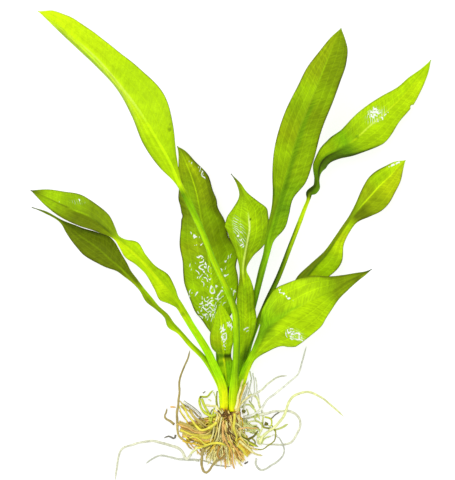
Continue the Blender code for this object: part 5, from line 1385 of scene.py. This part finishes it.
def loose_strands():
    """The roots that lie loose. One that is wider than BAND_FROM is several side by side."""
    made = []
    for number, (colour, foot, tip, flat, *points) in enumerate(LOOSE_ROOTS):
        seed = LOOSE_SEED + LOOSE_SEED_STEP * number
        if flat <= BAND_FROM:
            made.append(strand(points, foot, tip, colour, seed, LOOSE_SWAY, flat=flat))
            continue
        rng = np.random.default_rng(seed)
        middle = np.array(points, float)
        side, _ = frames(middle)
        for across in np.linspace(-1, 1, round(BAND_COUNT + BAND_COUNT_GROWTH * flat)):
            shift = across * foot * flat * BAND_SPREAD * rng.uniform(*BAND_WANDER, len(middle))
            path = middle + side * shift[:, None]
            path[:, 2] += rng.uniform(-BAND_LIFT, BAND_LIFT)
            pick = BAND_COLOURS[rng.integers(len(BAND_COLOURS))]
            thin = foot * rng.uniform(*FINE_RADIUS)
            made.append(strand(path, thin, thin * FINE_TAPER, pick, seed + 7, BAND_SWAY))
    return made


def single_root(name, seed):
    colour, radius, points = ROOTS[name]
    return [strand(points, radius, radius * ROOT_TAPER, colour, seed, ROOT_SWAY)]


def crown():
    """The brown rootstock: lumpy, with bark colours."""
    share = np.linspace(0, 1, CROWN_RINGS)[:, None]
    angle = (2 * math.pi * np.arange(CROWN_SIDES) / CROWN_SIDES)[None, :]
    lump = sum(
        height * waves(seed, angle * 8, share * 16, wavelengths=wavelengths, parts=10)
        for seed, height, wavelengths in CROWN_LUMPS
    )
    lump = 1 + lump * np.abs(np.cos(angle / 2)) ** 0.2  # it fades to none on the left flank
    swell = np.interp(share, CROWN_SHARES, CROWN_RADII) * lump
    x = CROWN_WIDTH / 2 * swell * np.cos(angle)
    y = LEAF_BASE_Y + CROWN_OVERLAP - share * CROWN_LENGTH + 0 * angle
    z = CROWN_HEIGHT / 2 * (1 + swell * np.sin(angle))
    points = np.stack([x, y, np.maximum(z, FLOOR_GAP)], axis=-1)
    grain = sum(
        strength * waves(seed, *np.moveaxis(points, -1, 0), wavelengths=wavelengths, parts=10)
        for seed, strength, wavelengths in CROWN_GRAIN
    )
    light = smoothstep(-0.8, 0.9, grain)
    tints = blend(ROOT_COLOURS["bark"], ROOT_COLOURS["tan"], light)
    columns_at = np.arange(CROWN_SIDES + 1) / CROWN_SIDES
    rows_at = np.linspace(0.02, 0.96, CROWN_RINGS)
    skin = closed_skin(points, tints, columns_at, rows_at, LAYOUT_CAP)
    return mesh_piece("crown_stock", [skin], root_material("crown_surface", roughness=0.65))


def camera():
    lens = bpy.data.cameras.new("camera")
    lens.sensor_width = SENSOR
    lens.lens = SENSOR * CAMERA_HEIGHT / VIEW_LENGTH
    lens.clip_start = 0.01
    lens.clip_end = 20
    eye = bpy.data.objects.new("camera", lens)
    eye.location = (VIEW_CENTRE + np.array([0, 0, CAMERA_HEIGHT]) - ORIGIN) * MM
    bpy.context.scene.collection.objects.link(eye)
    bpy.context.scene.camera = eye


def lamp():
    """One broad soft light overhead."""
    disk = bpy.data.lights.new("overhead", "AREA")
    disk.shape = "DISK"
    disk.size = LAMP_SIZE
    disk.energy = LAMP_POWER
    light = bpy.data.objects.new("overhead", disk)
    light.location = LAMP_PLACE
    x, y, z = LAMP_DIRECTION
    light.rotation_euler = (math.atan2(math.hypot(x, y), -z), 0, math.atan2(x, -y) + math.pi)
    bpy.context.scene.collection.objects.link(light)


def studio():
    """A plain white surface in soft light."""
    scene = bpy.context.scene
    scene.view_settings.view_transform = "Standard"
    world = bpy.data.worlds.new("studio")
    world.use_nodes = True
    backdrop = world.node_tree.nodes["Background"]
    backdrop.inputs["Color"].default_value = (1, 1, 1, 1)
    backdrop.inputs["Strength"].default_value = WORLD_STRENGTH
    scene.world = world
    lamp()

    mesh = bpy.data.meshes.new("surface")
    corners = [(x * FLOOR_REACH, y * FLOOR_REACH, 0) for x, y in ((-1, -1), (1, -1), (1, 1), (-1, 1))]
    mesh.from_pydata(corners, [], [(0, 1, 2, 3)])
    floor = bpy.data.objects.new("surface", mesh)
    scene.collection.objects.link(floor)
    white = Shader("white_surface", roughness=0.8, specular=0.1)
    white.feed(white.principled.inputs["Base Color"], (FLOOR_GREY, FLOOR_GREY, FLOOR_GREY, 1))
    white.feed(white.principled.inputs["Emission Color"], (1, 1, 1, 1))
    white.feed(white.principled.inputs["Emission Strength"], FLOOR_GLOW)
    mesh.materials.append(white.material)


def place(piece, node, slot):
    """The piece rides with the plant and stands for its solid. The slot is not used."""
    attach(piece, "root")
    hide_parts(node)


def main():
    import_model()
    camera()
    studio()
    place(crown(), "crown", "crown")
    for number, (name, finish) in enumerate(LEAF_FINISH.items()):
        place(leaf(name, LEAF_SEED + LEAF_SEED_STEP * number, finish), name, finish.slot)
    root_skin = root_material("root_surface")
    for number, name in enumerate(TUFTS):
        strands = tuft_strands(name, TUFT_SEED + number)
        place(tubes(name + "_strands", strands, TUFT_SIDES, root_skin), name, "root_tan")
    loose = tubes("loose_roots", loose_strands(), LOOSE_SIDES, root_skin)
    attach(loose, "root")
    for number, name in enumerate(ROOTS):
        strands = single_root(name, ROOT_SEED + ROOT_SEED_STEP * number)
        piece = tubes(name + "_strand", strands, ROOT_SIDES, root_skin)
        place(piece, name, "root_tan" if name in TAN_ROOTS else "root_pale")


main()
